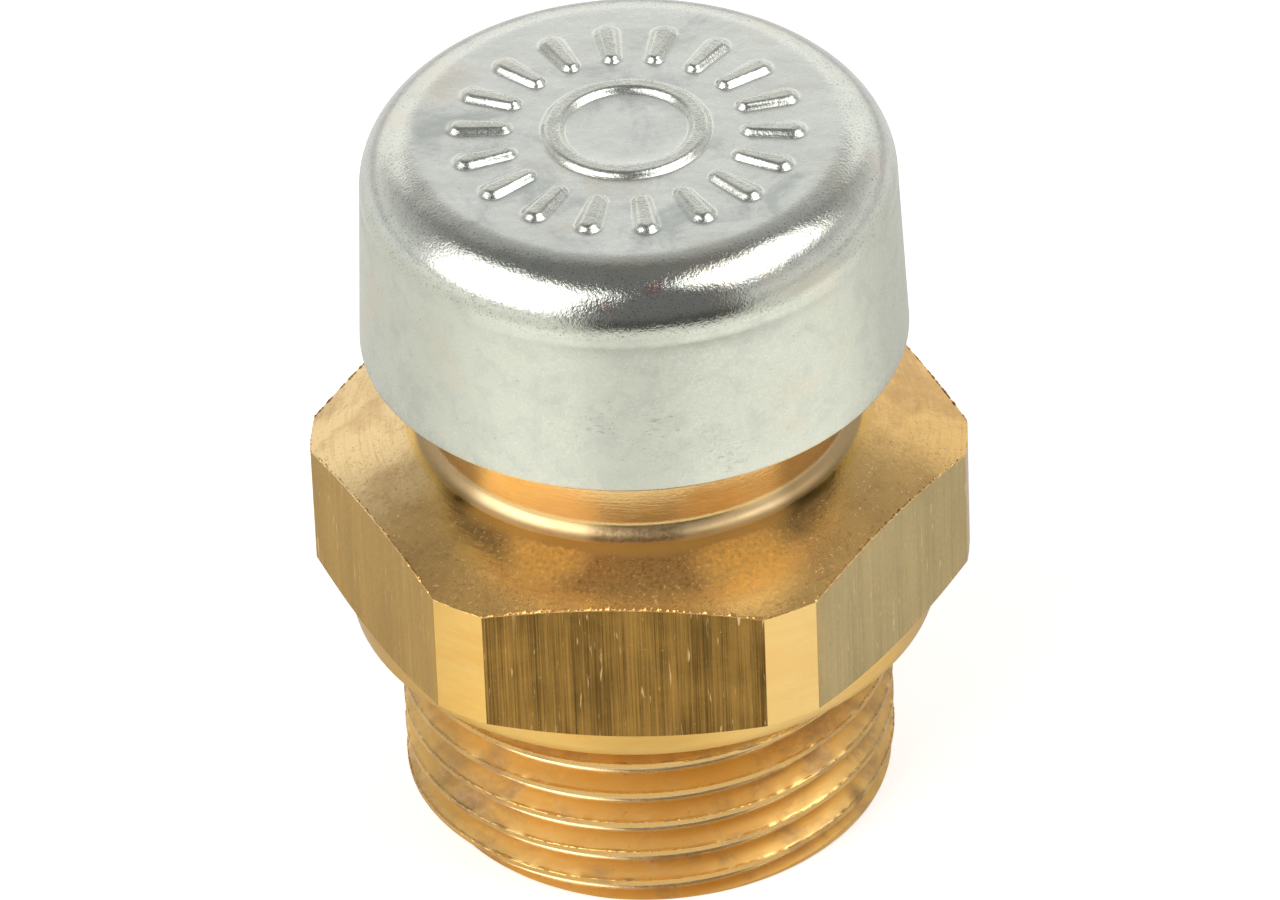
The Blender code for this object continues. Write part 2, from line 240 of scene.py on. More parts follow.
def from_front(angle: np.ndarray) -> np.ndarray:
    """The same angles, from the front at -Y to a full turn past it."""
    return np.where(angle < FRONT - 1e-4, angle + FULL_TURN, angle)


def face_centres(obj: bpy.types.Object) -> np.ndarray:
    """The centres of the faces of obj as an array of rows x, y, z."""
    centres = np.empty(len(obj.data.polygons) * 3, np.float32)
    obj.data.polygons.foreach_get("center", centres)
    return centres.reshape(-1, 3).astype(float)


def arc(
    centre: tuple[float, float], radius: float, start: float, end: float, steps: int
) -> Profile:
    """Points on an arc of a half section.

    Args:
        centre: Centre (r, z).
        radius: Radius of the arc.
        start: First angle in degrees, from +r towards +z.
        end: Last angle in degrees.
        steps: Number of segments.

    Returns:
        The points, with both ends.
    """
    angles = [math.radians(start + (end - start) * i / steps) for i in range(steps + 1)]
    return [(centre[0] + radius * math.cos(a), centre[1] + radius * math.sin(a)) for a in angles]


def line(start: tuple[float, float], end: tuple[float, float], steps: int) -> Profile:
    """Points between start and end, without start and with end."""
    return [
        (
            start[0] + (end[0] - start[0]) * i / steps,
            start[1] + (end[1] - start[1]) * i / steps,
        )
        for i in range(1, steps + 1)
    ]


def onward(points: Profile, corners: Sequence[tuple[float, float, int]]) -> None:
    """Goes on from the last point over corners (r, z), each reached in a number of steps."""
    for r, z, steps in corners:
        points.extend(line(points[-1], (r, z), steps))


def around(radius: float, angle: float, z: float) -> Vector:
    """The place at a radius and an angle about Z."""
    return Vector((radius * math.cos(angle), radius * math.sin(angle), z))


def ripple(angle: float, height: float, detail: float, seed: float) -> float:
    """Seamless noise round the axis, between about -1 and 1.

    Args:
        angle: Angle about Z.
        height: A second coordinate, in the same units as the circle's radius.
        detail: Radius of the circle on which the noise is read. A larger one gives finer noise.
        seed: Offset that picks another pattern.

    Returns:
        The noise value.
    """
    return noise.noise(around(detail, angle, height + seed))


def wire(
    name: str, points: Sequence[Vector], diameter: float, swell: Sequence[float] | None = None
) -> bpy.types.Object:
    """Bends a round wire along points, with closed ends.

    Args:
        name: Name of the new object.
        points: Points of its centre line.
        diameter: Diameter of the wire.
        swell: Share of the diameter at each point, where it varies.

    Returns:
        The wire as a mesh.
    """
    clear_selection()
    bpy.ops.curve.primitive_nurbs_path_add(location=(0.0, 0.0, 0.0))
    obj = bpy.context.active_object
    obj.name = name
    curve = obj.data
    curve.splines.clear()
    spline = curve.splines.new("POLY")
    spline.points.add(len(points) - 1)
    for knot, place in zip(spline.points, points):
        knot.co = (*place, 1.0)
    if swell is not None:
        for knot, share in zip(spline.points, swell):
            knot.radius = share
    curve.bevel_depth = diameter / 2
    curve.bevel_resolution = 4 if swell is None else 1
    curve.use_fill_caps = True
    bpy.ops.object.convert(target="MESH")
    weld(obj)
    smooth_by(obj, 50.0)
    return obj


def hand_over(
    obj: bpy.types.Object,
    body: Body,
    finishes: Sequence[bpy.types.Material],
    stands_for: str | None = None,
) -> None:
    """Dresses a finished piece and ties it to its body.

    Args:
        obj: The piece.
        body: The body that it rides on.
        finishes: Its materials, in the order of its faces' indices.
        stands_for: The solid that it replaces.
    """
    indices = np.empty(len(obj.data.polygons), np.int32)
    obj.data.polygons.foreach_get("material_index", indices)
    obj.data.materials.clear()
    for finish in finishes:
        obj.data.materials.append(finish)
    obj.data.polygons.foreach_set("material_index", indices)
    obj.data.name = obj.name
    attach(obj, body.value)
    if stands_for:
        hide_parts(stands_for)
    LOG.info("%s: %d faces, rides on %s", obj.name, len(obj.data.polygons), body.value)


# Finishes


class Nodes:
    """Adds shader nodes to one tree and wires them up."""

    def __init__(self, tree: bpy.types.NodeTree) -> None:
        """Takes the tree.

        Args:
            tree: The node tree.
        """
        self.tree = tree

    def add(self, kind: str) -> bpy.types.Node:
        """Adds a node of a kind."""
        return self.tree.nodes.new(kind)

    def feed(self, socket: Socket, value: Socket | float | Sequence[float]) -> None:
        """Wires a socket to an output, or sets its number or colour."""
        if isinstance(value, bpy.types.NodeSocket):
            self.tree.links.new(value, socket)
        elif isinstance(value, (int, float)):
            socket.default_value = value
        else:
            given = tuple(value)
            socket.default_value = given if len(given) == len(socket.default_value) else (*given, 1.0)

    def maths(self, operation: str, *values: Socket | float) -> Socket:
        """A Math node.

        Args:
            operation: Its operation.
            *values: One to three inputs.

        Returns:
            Its output.
        """
        node = self.add("ShaderNodeMath")
        node.operation = operation
        for socket, value in zip(node.inputs, values):
            self.feed(socket, value)
        return node.outputs[0]

    def remap(
        self, value: Socket, low: float, high: float, to_low: float = 0.0, to_high: float = 1.0
    ) -> Socket:
        """Maps a range smoothly to another and clamps it.

        Args:
            value: The input.
            low: Start of the input's range.
            high: End of the input's range.
            to_low: Output at low.
            to_high: Output at high.

        Returns:
            The mapped value.
        """
        node = self.add("ShaderNodeMapRange")
        node.interpolation_type = "SMOOTHSTEP"
        for socket, number in zip(node.inputs, (value, low, high, to_low, to_high)):
            self.feed(socket, number)
        return node.outputs["Result"]

    def speckle(
        self, where: Socket, scale: float, detail: float = 3.0, roughness: float = 0.55, warp: float = 0.0
    ) -> Socket:
        """A noise texture between 0 and 1.

        Args:
            where: Its coordinates.
            scale: Its scale.
            detail: Number of finer layers.
            roughness: Strength of the finer layers.
            warp: Distortion.

        Returns:
            The noise value.
        """
        node = self.add("ShaderNodeTexNoise")
        self.feed(node.inputs["Vector"], where)
        self.feed(node.inputs["Scale"], scale)
        self.feed(node.inputs["Detail"], detail)
        self.feed(node.inputs["Roughness"], roughness)
        self.feed(node.inputs["Distortion"], warp)
        return node.outputs["Fac"]

    def cells(self, where: Socket, scale: float) -> Socket:
        """Distance to the nearest random point, for pits and pores.

        Args:
            where: Its coordinates.
            scale: Its scale.

        Returns:
            The distance.
        """
        node = self.add("ShaderNodeTexVoronoi")
        self.feed(node.inputs["Vector"], where)
        self.feed(node.inputs["Scale"], scale)
        return node.outputs["Distance"]

    def blend(self, share: Socket | float, first: Socket | Colour, second: Socket | Colour) -> Socket:
        """Mixes two colours.

        Args:
            share: 0 gives the first and 1 the second.
            first: A colour.
            second: Another colour.

        Returns:
            The mixed colour.
        """
        node = self.add("ShaderNodeMix")
        node.data_type = "RGBA"
        self.feed(node.inputs["Factor"], share)
        self.feed(node.inputs[6], first)
        self.feed(node.inputs[7], second)
        return node.outputs[2]

    def part(self, where: Socket) -> tuple[Socket, Socket, Socket]:
        """The x, y and z of a vector."""
        node = self.add("ShaderNodeSeparateXYZ")
        self.feed(node.inputs[0], where)
        return node.outputs[0], node.outputs[1], node.outputs[2]

    def vector(self, x: Socket | float, y: Socket | float, z: Socket | float) -> Socket:
        """A vector from three numbers."""
        node = self.add("ShaderNodeCombineXYZ")
        for socket, value in zip(node.inputs, (x, y, z)):
            self.feed(socket, value)
        return node.outputs[0]

    def both(self, first: Socket, *others: Socket) -> Socket:
        """Where all of the masks are on."""
        for mask in others:
            first = self.maths("MULTIPLY", first, mask)
        return first

    def most(self, first: Socket, *others: Socket) -> Socket:
        """The strongest of the masks at each place."""
        for mask in others:
            first = self.maths("MAXIMUM", first, mask)
        return first

    def partly(self, mask: Socket, share: float, least: float = 0.0) -> Socket:
        """A weaker mask: a share of it on top of the least value."""
        return self.maths("MULTIPLY_ADD", mask, share, least)

    def from_axis(self, x: Socket, y: Socket) -> Socket:
        """Distance from the Z axis."""
        return self.maths("SQRT", self.maths("MULTIPLY_ADD", x, x, self.maths("MULTIPLY", y, y)))

    def without(self, mask: Socket) -> Socket:
        """The opposite of a mask."""
        return self.maths("SUBTRACT", 1.0, mask)


class Bench(Nodes):
    """The nodes of one material."""

    def __init__(self, name: str) -> None:
        """Makes the material and its Principled shader.

        Args:
            name: Name of the material.
        """
        self.material = bpy.data.materials.new(name)
        self.material.use_nodes = True
        super().__init__(self.material.node_tree)
        self.shader = self.tree.nodes["Principled BSDF"]
        self.place = self.add("ShaderNodeTexCoord").outputs["Object"]

    def split(self) -> tuple[Socket, Socket, Socket]:
        """The x, y and z of the object coordinates."""
        return self.part(self.place)

    def round_coords(self, across: float, around: float) -> tuple[Socket, Socket, Socket, Socket, Socket]:
        """Coordinates that run along the marks of a lathe tool.

        Args:
            across: Number of marks per metre across the tool's path.
            around: Features round the whole axis.

        Returns:
            The vector for a noise, then the radius, the cosine and sine of the angle, and z.
        """
        x, y, z = self.split()
        flat = self.vector(x, y, 0.0)
        length = self.add("ShaderNodeVectorMath")
        length.operation = "LENGTH"
        self.feed(length.inputs[0], flat)
        radius = length.outputs["Value"]
        cosine = self.maths("DIVIDE", x, radius)
        sine = self.maths("DIVIDE", y, radius)
        path = self.maths("MULTIPLY", self.maths("ADD", radius, z), across)
        where = self.vector(
            path, self.maths("MULTIPLY", cosine, around), self.maths("MULTIPLY", sine, around)
        )
        return where, radius, cosine, sine, z

    def dent(self, height: Socket, depth: float, before: Socket | None = None) -> Socket:
        """A bump of a real depth.

        Args:
            height: Height between 0 and 1.
            depth: Depth in metres.
            before: The bump that this one lies on.

        Returns:
            The normal.
        """
        node = self.add("ShaderNodeBump")
        node.inputs["Strength"].default_value = 1.0
        self.feed(node.inputs["Distance"], depth)
        self.feed(node.inputs["Height"], height)
        if before is not None:
            self.feed(node.inputs["Normal"], before)
        return node.outputs["Normal"]

    def spot(self, centre: Colour, inner: float, outer: float) -> Socket:
        """A round mask that is on within the inner radius and off past the outer one.

        Args:
            centre: Its centre.
            inner: Radius up to which it is fully on.
            outer: Radius from which it is off.

        Returns:
            The mask.
        """
        node = self.add("ShaderNodeVectorMath")
        node.operation = "DISTANCE"
        self.feed(node.inputs[0], self.place)
        self.feed(node.inputs[1], centre)
        return self.remap(node.outputs["Value"], outer, inner)

    def finish(
        self,
        colour: Socket | Colour,
        roughness: Socket | float,
        normal: Socket | None,
        metallic: Socket | float = 1.0,
    ) -> bpy.types.Material:
        """Feeds the shader.

        Args:
            colour: Base colour.
            roughness: Roughness.
            normal: Normal, or None.
            metallic: Metallic share.

        Returns:
            The finished material.
        """
        self.feed(self.shader.inputs["Base Color"], colour)
        self.feed(self.shader.inputs["Roughness"], roughness)
        self.feed(self.shader.inputs["Metallic"], metallic)
        if normal is not None:
            self.feed(self.shader.inputs["Normal"], normal)
        return self.material


@dataclass(frozen=True)
class TurnedBrass:
    """Brass from the lathe: gold with fine rings, browner on the slope and bright on the neck, with painted
    highlights on the neck fillet and the slope's left side, painted dark reflections on the fillet's front
    and the neck's sides, painted shade inside the cap, and a painted glow mixed with tarnish.
    """

    gold: Colour = (0.82, 0.53, 0.155)
    orange: Colour = (0.80, 0.46, 0.11)
    cone: Colour = (0.93, 0.61, 0.24)
    brown: Colour = (0.50, 0.30, 0.13)
    bright: Colour = (0.97, 0.70, 0.31)
    blush: Colour = (0.95, 0.74, 0.46)
    painted_left_sheen: Colour = (0.98, 0.74, 0.38)
    right_band_tint: Colour = (0.74, 0.55, 0.26)
    painted_dark_reflection: Colour = (0.42, 0.30, 0.17)
    shade: Colour = (0.52, 0.37, 0.19)
    honey: Colour = (0.97, 0.47, 0.075)
    painted_glint: Colour = (0.99, 0.76, 0.43)
    painted_cap_shade: Colour = (0.28, 0.20, 0.11)
    slope_low_z: float = 16.15 * MM
    fillet_in_r: float = 8.52 * MM
    neck_out_r: float = 9.1 * MM
    hidden_z: float = 22.0 * MM
    left_tarnish_glow: Colour = (-3.0 * MM, -9.1 * MM, 17.4 * MM)
    right_tarnish_glow: Colour = (4.8 * MM, -9.3 * MM, 17.3 * MM)

    def material(self) -> bpy.types.Material:
        """Makes the material."""
        bench = Bench("turned_brass")
        rings, radius, cosine, sine, z = bench.round_coords(11800.0, 5.0)
        marks = bench.speckle(rings, 1.0, 3.0, 0.6)
        coarse, _, _, _, _ = bench.round_coords(1500.0, 3.0)
        bands = bench.speckle(coarse, 1.0, 3.0, 0.6)
        nicks_at, _, _, _, _ = bench.round_coords(9000.0, 60.0)
        nicks = bench.speckle(nicks_at, 1.0, 3.0, 0.65)
        clouds = bench.speckle(bench.place, 300.0, 5.0, 0.66, 0.3)
        grains = bench.speckle(bench.place, 5200.0, 3.0, 0.75)
        high = bench.remap(z, self.slope_low_z, self.slope_low_z + 0.1 * MM)
        slope = bench.both(high, bench.remap(radius, self.neck_out_r, self.neck_out_r + 0.5 * MM))
        neck = bench.both(high, bench.remap(radius, self.neck_out_r + 0.05 * MM, self.neck_out_r - 0.15 * MM))

        ground = bench.blend(bench.remap(bands, 0.35, 0.7, 0.0, 0.8), self.gold, self.orange)
        ground = bench.blend(bench.partly(slope, 0.85), ground, self.cone)
        # Painted highlight: a paler colour on the left-hand side of the slope stands for the light that it
        # reflects there.
        ground = bench.blend(bench.both(slope, bench.remap(cosine, -0.75, -0.95)), ground, self.painted_left_sheen)
        # A paler, duller tint over a band on the right-hand side, outside the slope.
        right_band = bench.both(bench.remap(cosine, 0.2, 0.5, 0.0, 0.4), bench.remap(cosine, 0.85, 0.65))
        ground = bench.blend(bench.both(right_band, bench.without(slope)), ground, self.right_band_tint)
        ground = bench.blend(bench.both(slope, bench.remap(marks, 0.5, 0.75, 0.0, 0.3)), ground, self.brown)
        # Painted dark reflection: towards their left and right sides the neck and its fillet turn to the dark
        # shade colour.
        aside = bench.remap(bench.maths("ABSOLUTE", cosine), 0.64, 0.76)
        # Painted highlight: the neck fillet is paler than the neck, standing for the lamp light that it
        # reflects.
        fillet = bench.remap(radius, self.fillet_in_r, self.fillet_in_r + 0.08 * MM)
        # Painted dark reflection: the middle front of the neck fillet is speckled dark brown, standing for
        # the dark camera side that it mirrors.
        ahead = bench.both(bench.remap(cosine, -0.2, -0.12), bench.remap(cosine, 0.3, 0.2))
        painted_dark_reflection = bench.both(ahead, bench.remap(grains, 0.35, 0.6, 0.5, 1.0))
        bright = bench.blend(fillet, self.bright, bench.blend(painted_dark_reflection, self.painted_glint, self.painted_dark_reflection))
        ground = bench.blend(neck, ground, bench.blend(aside, bright, self.shade))
        # Painted shade: the neck inside the cap, above hidden_z, turns dark brown.
        ground = bench.blend(bench.remap(z, self.hidden_z - 0.4 * MM, self.hidden_z), ground, self.painted_cap_shade)
        worn = bench.remap(clouds, 0.44, 0.64, 0.0, 0.6)
        ground = bench.blend(bench.both(worn, bench.partly(slope, 0.7, 0.15)), ground, self.brown)
        pale = bench.most(bench.remap(grains, 0.64, 0.78, 0.0, 0.5), bench.remap(nicks, 0.61, 0.72))
        pale = bench.both(pale, bench.partly(slope, 0.75, 0.12))
        ground = bench.blend(pale, ground, self.blush)
        dull = bench.both(bench.remap(nicks, 0.42, 0.32), bench.partly(slope, 0.5, 0.1))
        colour = bench.blend(dull, ground, self.brown)
        # Partly tarnish and partly painted glow: two spots at the front, and bands at the front and on the
        # right, turn honey-coloured and less metallic, in part for the golden light seen there.
        tarnish_and_glow = bench.most(
            bench.spot(self.left_tarnish_glow, 0.8 * MM, 3.0 * MM),
            bench.spot(self.right_tarnish_glow, 0.9 * MM, 3.8 * MM),
            bench.remap(sine, -0.7, -0.9, 0.1, 0.42),
            bench.both(bench.remap(cosine, 0.45, 0.6, 0.0, 0.34), bench.remap(cosine, 0.92, 0.78)),
        )
        uneven = bench.remap(bench.maths("MULTIPLY_ADD", clouds, 0.6, nicks), 0.6, 1.0, 0.65, 1.0)
        tarnish_and_glow = bench.both(tarnish_and_glow, uneven, bench.most(slope, bench.partly(neck, 0.3)))
        # Painted glow: a ring just below the neck fillet turns honey-coloured and less metallic, for golden
        # light below the fillet's highlight.
        painted_foot_glow = bench.both(
            bench.remap(radius, 8.85 * MM, 9.05 * MM),
            bench.remap(radius, 10.4 * MM, 9.2 * MM),
            bench.without(aside),
            high,
        )
        tarnish_and_glow = bench.most(tarnish_and_glow, bench.partly(painted_foot_glow, 0.55))
        colour = bench.blend(bench.partly(tarnish_and_glow, 0.85), colour, self.honey)
        even = bench.remap(bench.maths("ADD", marks, clouds), 0.7, 1.3, 0.14, 0.26)
        rough = bench.most(bench.both(pale, slope), bench.partly(bench.both(neck, fillet), 0.8))
        roughness = bench.maths("MULTIPLY_ADD", rough, 0.3, even)
        metallic = bench.maths("MULTIPLY_ADD", tarnish_and_glow, -0.85, 1.0)
        normal = bench.dent(marks, 3.0e-6)
        normal = bench.dent(nicks, 5.0e-6, normal)
        normal = bench.dent(grains, 2.0e-6, normal)
        return bench.finish(colour, roughness, normal, metallic)


@dataclass(frozen=True)
class DrawnBrass:
    """Brass bar as drawn: upright streaks on the spanner flats, duller and browner than turned brass, with
    painted shade on the front flat and painted light on the right-hand flats.
    """

    tint: Colour = (0.55, 0.345, 0.085)
    painted_front_shade: Colour = (0.25, 0.142, 0.034)
    painted_right_light: Colour = (0.47, 0.36, 0.165)
    pale: Colour = (0.80, 0.58, 0.28)

    def material(self) -> bpy.types.Material:
        """Makes the material."""
        bench = Bench("drawn_brass")
        x, y, z = bench.split()

        def drawn(across: float, along: float) -> Socket:
            """Coordinates of upright streaks."""
            return bench.vector(
                bench.maths("MULTIPLY", x, across),
                bench.maths("MULTIPLY", y, across),
                bench.maths("MULTIPLY", z, along),
            )

        streaks = bench.speckle(drawn(15000.0, 120.0), 1.0, 3.0, 0.75)
        broad = bench.speckle(drawn(1300.0, 50.0), 1.0, 3.0, 0.6)
        scratches = bench.speckle(drawn(7000.0, 700.0), 1.0, 2.0, 0.5, 0.8)
        clouds = bench.speckle(bench.place, 350.0, 4.0, 0.65, 0.4)
        grains = bench.speckle(bench.place, 5600.0, 3.0, 0.75)
        # Painted shade and light: the front flat is darker and the right-hand flats lighter, as the light
        # falls on them.
        front = bench.remap(y, -11.2 * MM, -11.8 * MM)
        right = bench.remap(x, 7.0 * MM, 8.0 * MM)
        tint = bench.blend(front, bench.blend(right, self.tint, self.painted_right_light), self.painted_front_shade)
        both = bench.maths("MULTIPLY_ADD", streaks, 0.62, bench.partly(broad, 0.38))
        both = bench.maths("MULTIPLY_ADD", clouds, 0.25, both)
        contrast = bench.partly(front, 0.85, 0.2)
        light = bench.maths("MULTIPLY_ADD", bench.remap(both, 0.42, 0.82, -0.6, 0.9), contrast, 1.0)
        level = bench.add("ShaderNodeVectorMath")
        level.operation = "SCALE"
        bench.feed(level.inputs[0], tint)
        bench.feed(level.inputs["Scale"], light)
        nicks = bench.most(bench.remap(grains, 0.64, 0.8, 0.0, 0.7), bench.remap(scratches, 0.655, 0.75))
        colour = bench.blend(nicks, level.outputs[0], self.pale)
        roughness = bench.remap(grains, 0.3, 0.7, 0.36, 0.52)
        normal = bench.dent(streaks, 4.0e-6)
        normal = bench.dent(grains, 3.0e-6, normal)
        return bench.finish(colour, roughness, normal)


@dataclass(frozen=True)
class ThreadBrass:
    """Brass of the thread: gold flanks with stains, torn crests, tiny pits and a painted highlight in the
    roots.
    """

    gold: Colour = (0.86, 0.56, 0.19)
    orange: Colour = (0.80, 0.47, 0.12)
    painted_glint: Colour = (0.96, 0.72, 0.38)
    blot: Colour = (0.22, 0.12, 0.05)
    stain: Colour = (0.50, 0.31, 0.14)
    chalk: Colour = (0.92, 0.70, 0.42)
    blot_place: Colour = (8.44 * MM, -4.58 * MM, 1.34 * MM)
    stain_places: tuple[Colour, ...] = (
        (-6.93 * MM, -6.64 * MM, 2.72 * MM),
        (-8.03 * MM, -5.26 * MM, 3.18 * MM),
        (-7.4 * MM, -6.0 * MM, 4.9 * MM),
    )

    def material(self) -> bpy.types.Material:
        """Makes the material."""
        bench = Bench("thread_brass")
        rings, radius, cosine, _, _ = bench.round_coords(14000.0, 9.0)
        marks = bench.speckle(rings, 1.0, 3.0, 0.6)
        clouds = bench.speckle(bench.place, 420.0, 4.0, 0.65, 0.4)
        bloom = bench.speckle(bench.place, 500.0, 6.0, 0.7)
        pits = bench.cells(bench.place, 2600.0)
        grains = bench.speckle(bench.place, 6200.0, 3.0, 0.75)
        crest = bench.remap(radius, 9.3 * MM, 9.95 * MM)
        ground = bench.blend(crest, self.orange, self.gold)
        # Painted highlight: the roots of the thread are paler, standing for the bright line of light that
        # they reflect.
        ground = bench.blend(bench.remap(radius, 9.28 * MM, 9.2 * MM), ground, self.painted_glint)
        sideways = bench.maths("MULTIPLY_ADD", bench.maths("ABSOLUTE", cosine), 0.14, clouds)
        dull = bench.remap(sideways, 0.54, 0.78, 0.0, 0.75)
        for place in self.stain_places:
            near = bench.spot(place, 0.3 * MM, 1.5 * MM)
            dull = bench.most(dull, bench.both(near, bench.remap(clouds, 0.3, 0.6)))
        stained = bench.blend(dull, ground, self.stain)
        stained = bench.blend(bench.remap(bloom, 0.55, 0.75, 0.0, 0.5), stained, self.chalk)
        pitted = bench.both(bench.remap(pits, 0.03, 0.13, 0.7, 0.0), bench.remap(clouds, 0.45, 0.6))
        blotted = bench.spot(self.blot_place, 0.25 * MM, 0.75 * MM)
        blotted = bench.both(blotted, bench.remap(clouds, 0.3, 0.5, 0.3, 0.9))
        colour = bench.blend(bench.most(pitted, blotted), stained, self.blot)
        even = bench.remap(bench.maths("ADD", marks, clouds), 0.7, 1.3, 0.15, 0.34)
        flank = bench.both(bench.remap(radius, 9.2 * MM, 9.3 * MM), bench.remap(radius, 9.93 * MM, 9.85 * MM))
        roughness = bench.maths("MULTIPLY_ADD", flank, 0.2, even)
        normal = bench.dent(marks, 2.4e-6)
        normal = bench.dent(grains, 3.0e-6, normal)
        return bench.finish(colour, roughness, normal, metallic=0.8)


@dataclass(frozen=True)
class ZincPlate:
    """Zinc-plated sheet: pale and slightly mottled, with a bright drawn shoulder and fine dark flecks,
    painted light on the top, and painted shade inside and, in part, on the side.
    """

    name: str = "zinc_plate"
    pale: Colour = (0.84, 0.86, 0.77)
    cloud: Colour = (0.74, 0.77, 0.70)
    beige: Colour = (0.86, 0.82, 0.71)
    fleck: Colour = (0.22, 0.23, 0.22)
    painted_top_light: Colour = (0.93, 0.95, 0.89)
    top_cloud: Colour = (0.66, 0.70, 0.66)
    reddish_tint: Colour = (0.72, 0.40, 0.34)
    scuff_places: tuple[Colour, ...] = (
        (1.6 * MM, -10.8 * MM, 24.7 * MM),
        (-0.7 * MM, -10.9 * MM, 25.0 * MM),
        (4.5 * MM, -10.0 * MM, 23.0 * MM),
    )
    side_tone_and_shade: Colour = (0.83, 0.83, 0.77)
    painted_inside_shade: Colour = (0.5, 0.5, 0.5)
    reddish_spots: tuple[Colour, ...] = (
        (-0.45 * MM, -10.30 * MM, 30.30 * MM),
        (-0.10 * MM, -10.36 * MM, 30.20 * MM),
        (1.35 * MM, -9.80 * MM, 30.80 * MM),
        (1.70 * MM, -9.70 * MM, 30.84 * MM),
    )
    shoulder_z: float = 28.9 * MM
    crown_z: float = 31.28 * MM

    def material(self) -> bpy.types.Material:
        """Makes the material."""
        bench = Bench(self.name)
        rings, radius, _, sine, z = bench.round_coords(1.0 / (0.1 * MM), 24.0)
        flecks = bench.speckle(rings, 1.0, 3.0, 0.7)
        clouds = bench.speckle(bench.place, 900.0, 4.0, 0.62, 0.4)
        grains = bench.speckle(bench.place, 8200.0, 2.0, 0.7)
        dips = bench.speckle(bench.place, 330.0, 3.0, 0.5)
        tints = bench.speckle(bench.place, 210.0, 2.0, 0.5, 0.3)
        stains = bench.speckle(bench.place, 300.0, 6.0, 0.68, 0.5)
        pepper = bench.speckle(bench.place, 11000.0, 2.0, 0.8)
        shoulder = bench.remap(z, self.shoulder_z - 0.1 * MM, self.shoulder_z + 0.25 * MM)
        flat_top = bench.remap(z, self.crown_z, self.crown_z + 0.1 * MM)
        flat_top = bench.both(flat_top, bench.remap(radius, 8.9 * MM, 8.2 * MM))
        raised = bench.remap(z, self.crown_z + 0.13 * MM, self.crown_z + 0.16 * MM)
        bend = bench.both(shoulder, bench.without(bench.both(flat_top, bench.without(raised))))

        ground = bench.blend(bench.remap(clouds, 0.42, 0.75), self.pale, self.cloud)
        # Painted light: the flat top takes a paler mottle than the side, lighter still towards the back.
        painted_back_light = bench.both(bench.remap(sine, 0.0, 0.8), bench.remap(radius, 2.0 * MM, 7.0 * MM))
        patchy = bench.maths("MULTIPLY_ADD", painted_back_light, -0.07, stains)
        mottled = bench.blend(bench.remap(patchy, 0.47, 0.68), self.painted_top_light, self.top_cloud)
        ground = bench.blend(bench.both(flat_top, bench.without(raised)), ground, mottled)
        ground = bench.blend(bench.both(bench.remap(pepper, 0.56, 0.7, 0.0, 0.8), bend), ground, self.fleck)
        ground = bench.blend(bench.remap(tints, 0.55, 0.7, 0.0, 0.8), ground, self.beige)
        # Small reddish patches at listed places on the front of the fillet.
        for place in self.reddish_spots:
            reddish_patch = bench.both(bench.spot(place, 0.0, 0.42 * MM), bench.remap(clouds, 0.3, 0.6, 0.2, 0.9))
            ground = bench.blend(reddish_patch, ground, self.reddish_tint)
        scuffs = bench.most(*(bench.spot(place, 0.2 * MM, 1.7 * MM) for place in self.scuff_places))
        scuffed = bench.remap(bench.maths("MULTIPLY_ADD", scuffs, 0.09, flecks), 0.64, 0.78, 0.0, 0.6)
        ground = bench.blend(bench.both(scuffed, bench.without(bend)), ground, self.fleck)
        side = bench.add("ShaderNodeVectorMath")
        side.operation = "MULTIPLY"
        bench.feed(side.inputs[0], ground)
        # The side below the shoulder is darkened, partly for the side's lower reflectance and partly as
        # painted shade.
        low = bench.remap(z, self.shoulder_z + 1.3 * MM, self.shoulder_z + 0.6 * MM)
        # Painted shade: the inside of the cap is darkened to half.
        inside = bench.both(bench.remap(radius, 10.4 * MM, 10.3 * MM), bench.remap(z, 29.8 * MM, 29.7 * MM))
        outside = bench.blend(low, WHITE, self.side_tone_and_shade)
        bench.feed(side.inputs[1], bench.blend(inside, outside, self.painted_inside_shade))
        matte = bench.remap(grains, 0.3, 0.7, 0.26, 0.38)
        bright = bench.remap(grains, 0.3, 0.7, 0.08, 0.15)
        roughness = bench.maths("ADD", bench.both(matte, bench.without(bend)), bench.both(bright, bend))
        roughness = bench.maths("MULTIPLY_ADD", inside, 0.4, roughness)
        roughness = bench.maths("MULTIPLY_ADD", bench.both(raised, flat_top), 0.12, roughness)
        normal = bench.dent(dips, 60.0e-6)
        normal = bench.dent(bench.both(grains, bench.partly(bend, 0.7, 0.3)), 12.0e-6, normal)
        return bench.finish(side.outputs[0], roughness, normal)


@dataclass(frozen=True)
class PlainSteel:
    """Bare or stainless steel sheet and wire, with rolling marks."""

    name: str
    light: Colour
    dark: Colour
    grain: float = 2400.0

    def material(self) -> bpy.types.Material:
        """Makes the material."""
        bench = Bench(self.name)
        clouds = bench.speckle(bench.place, 700.0, 3.0, 0.6)
        grains = bench.speckle(bench.place, self.grain, 3.0, 0.7)
        colour = bench.blend(bench.remap(clouds, 0.35, 0.68), self.light, self.dark)
        roughness = bench.remap(grains, 0.3, 0.7, 0.26, 0.42)
        return bench.finish(colour, roughness, bench.dent(grains, 2.0e-6))


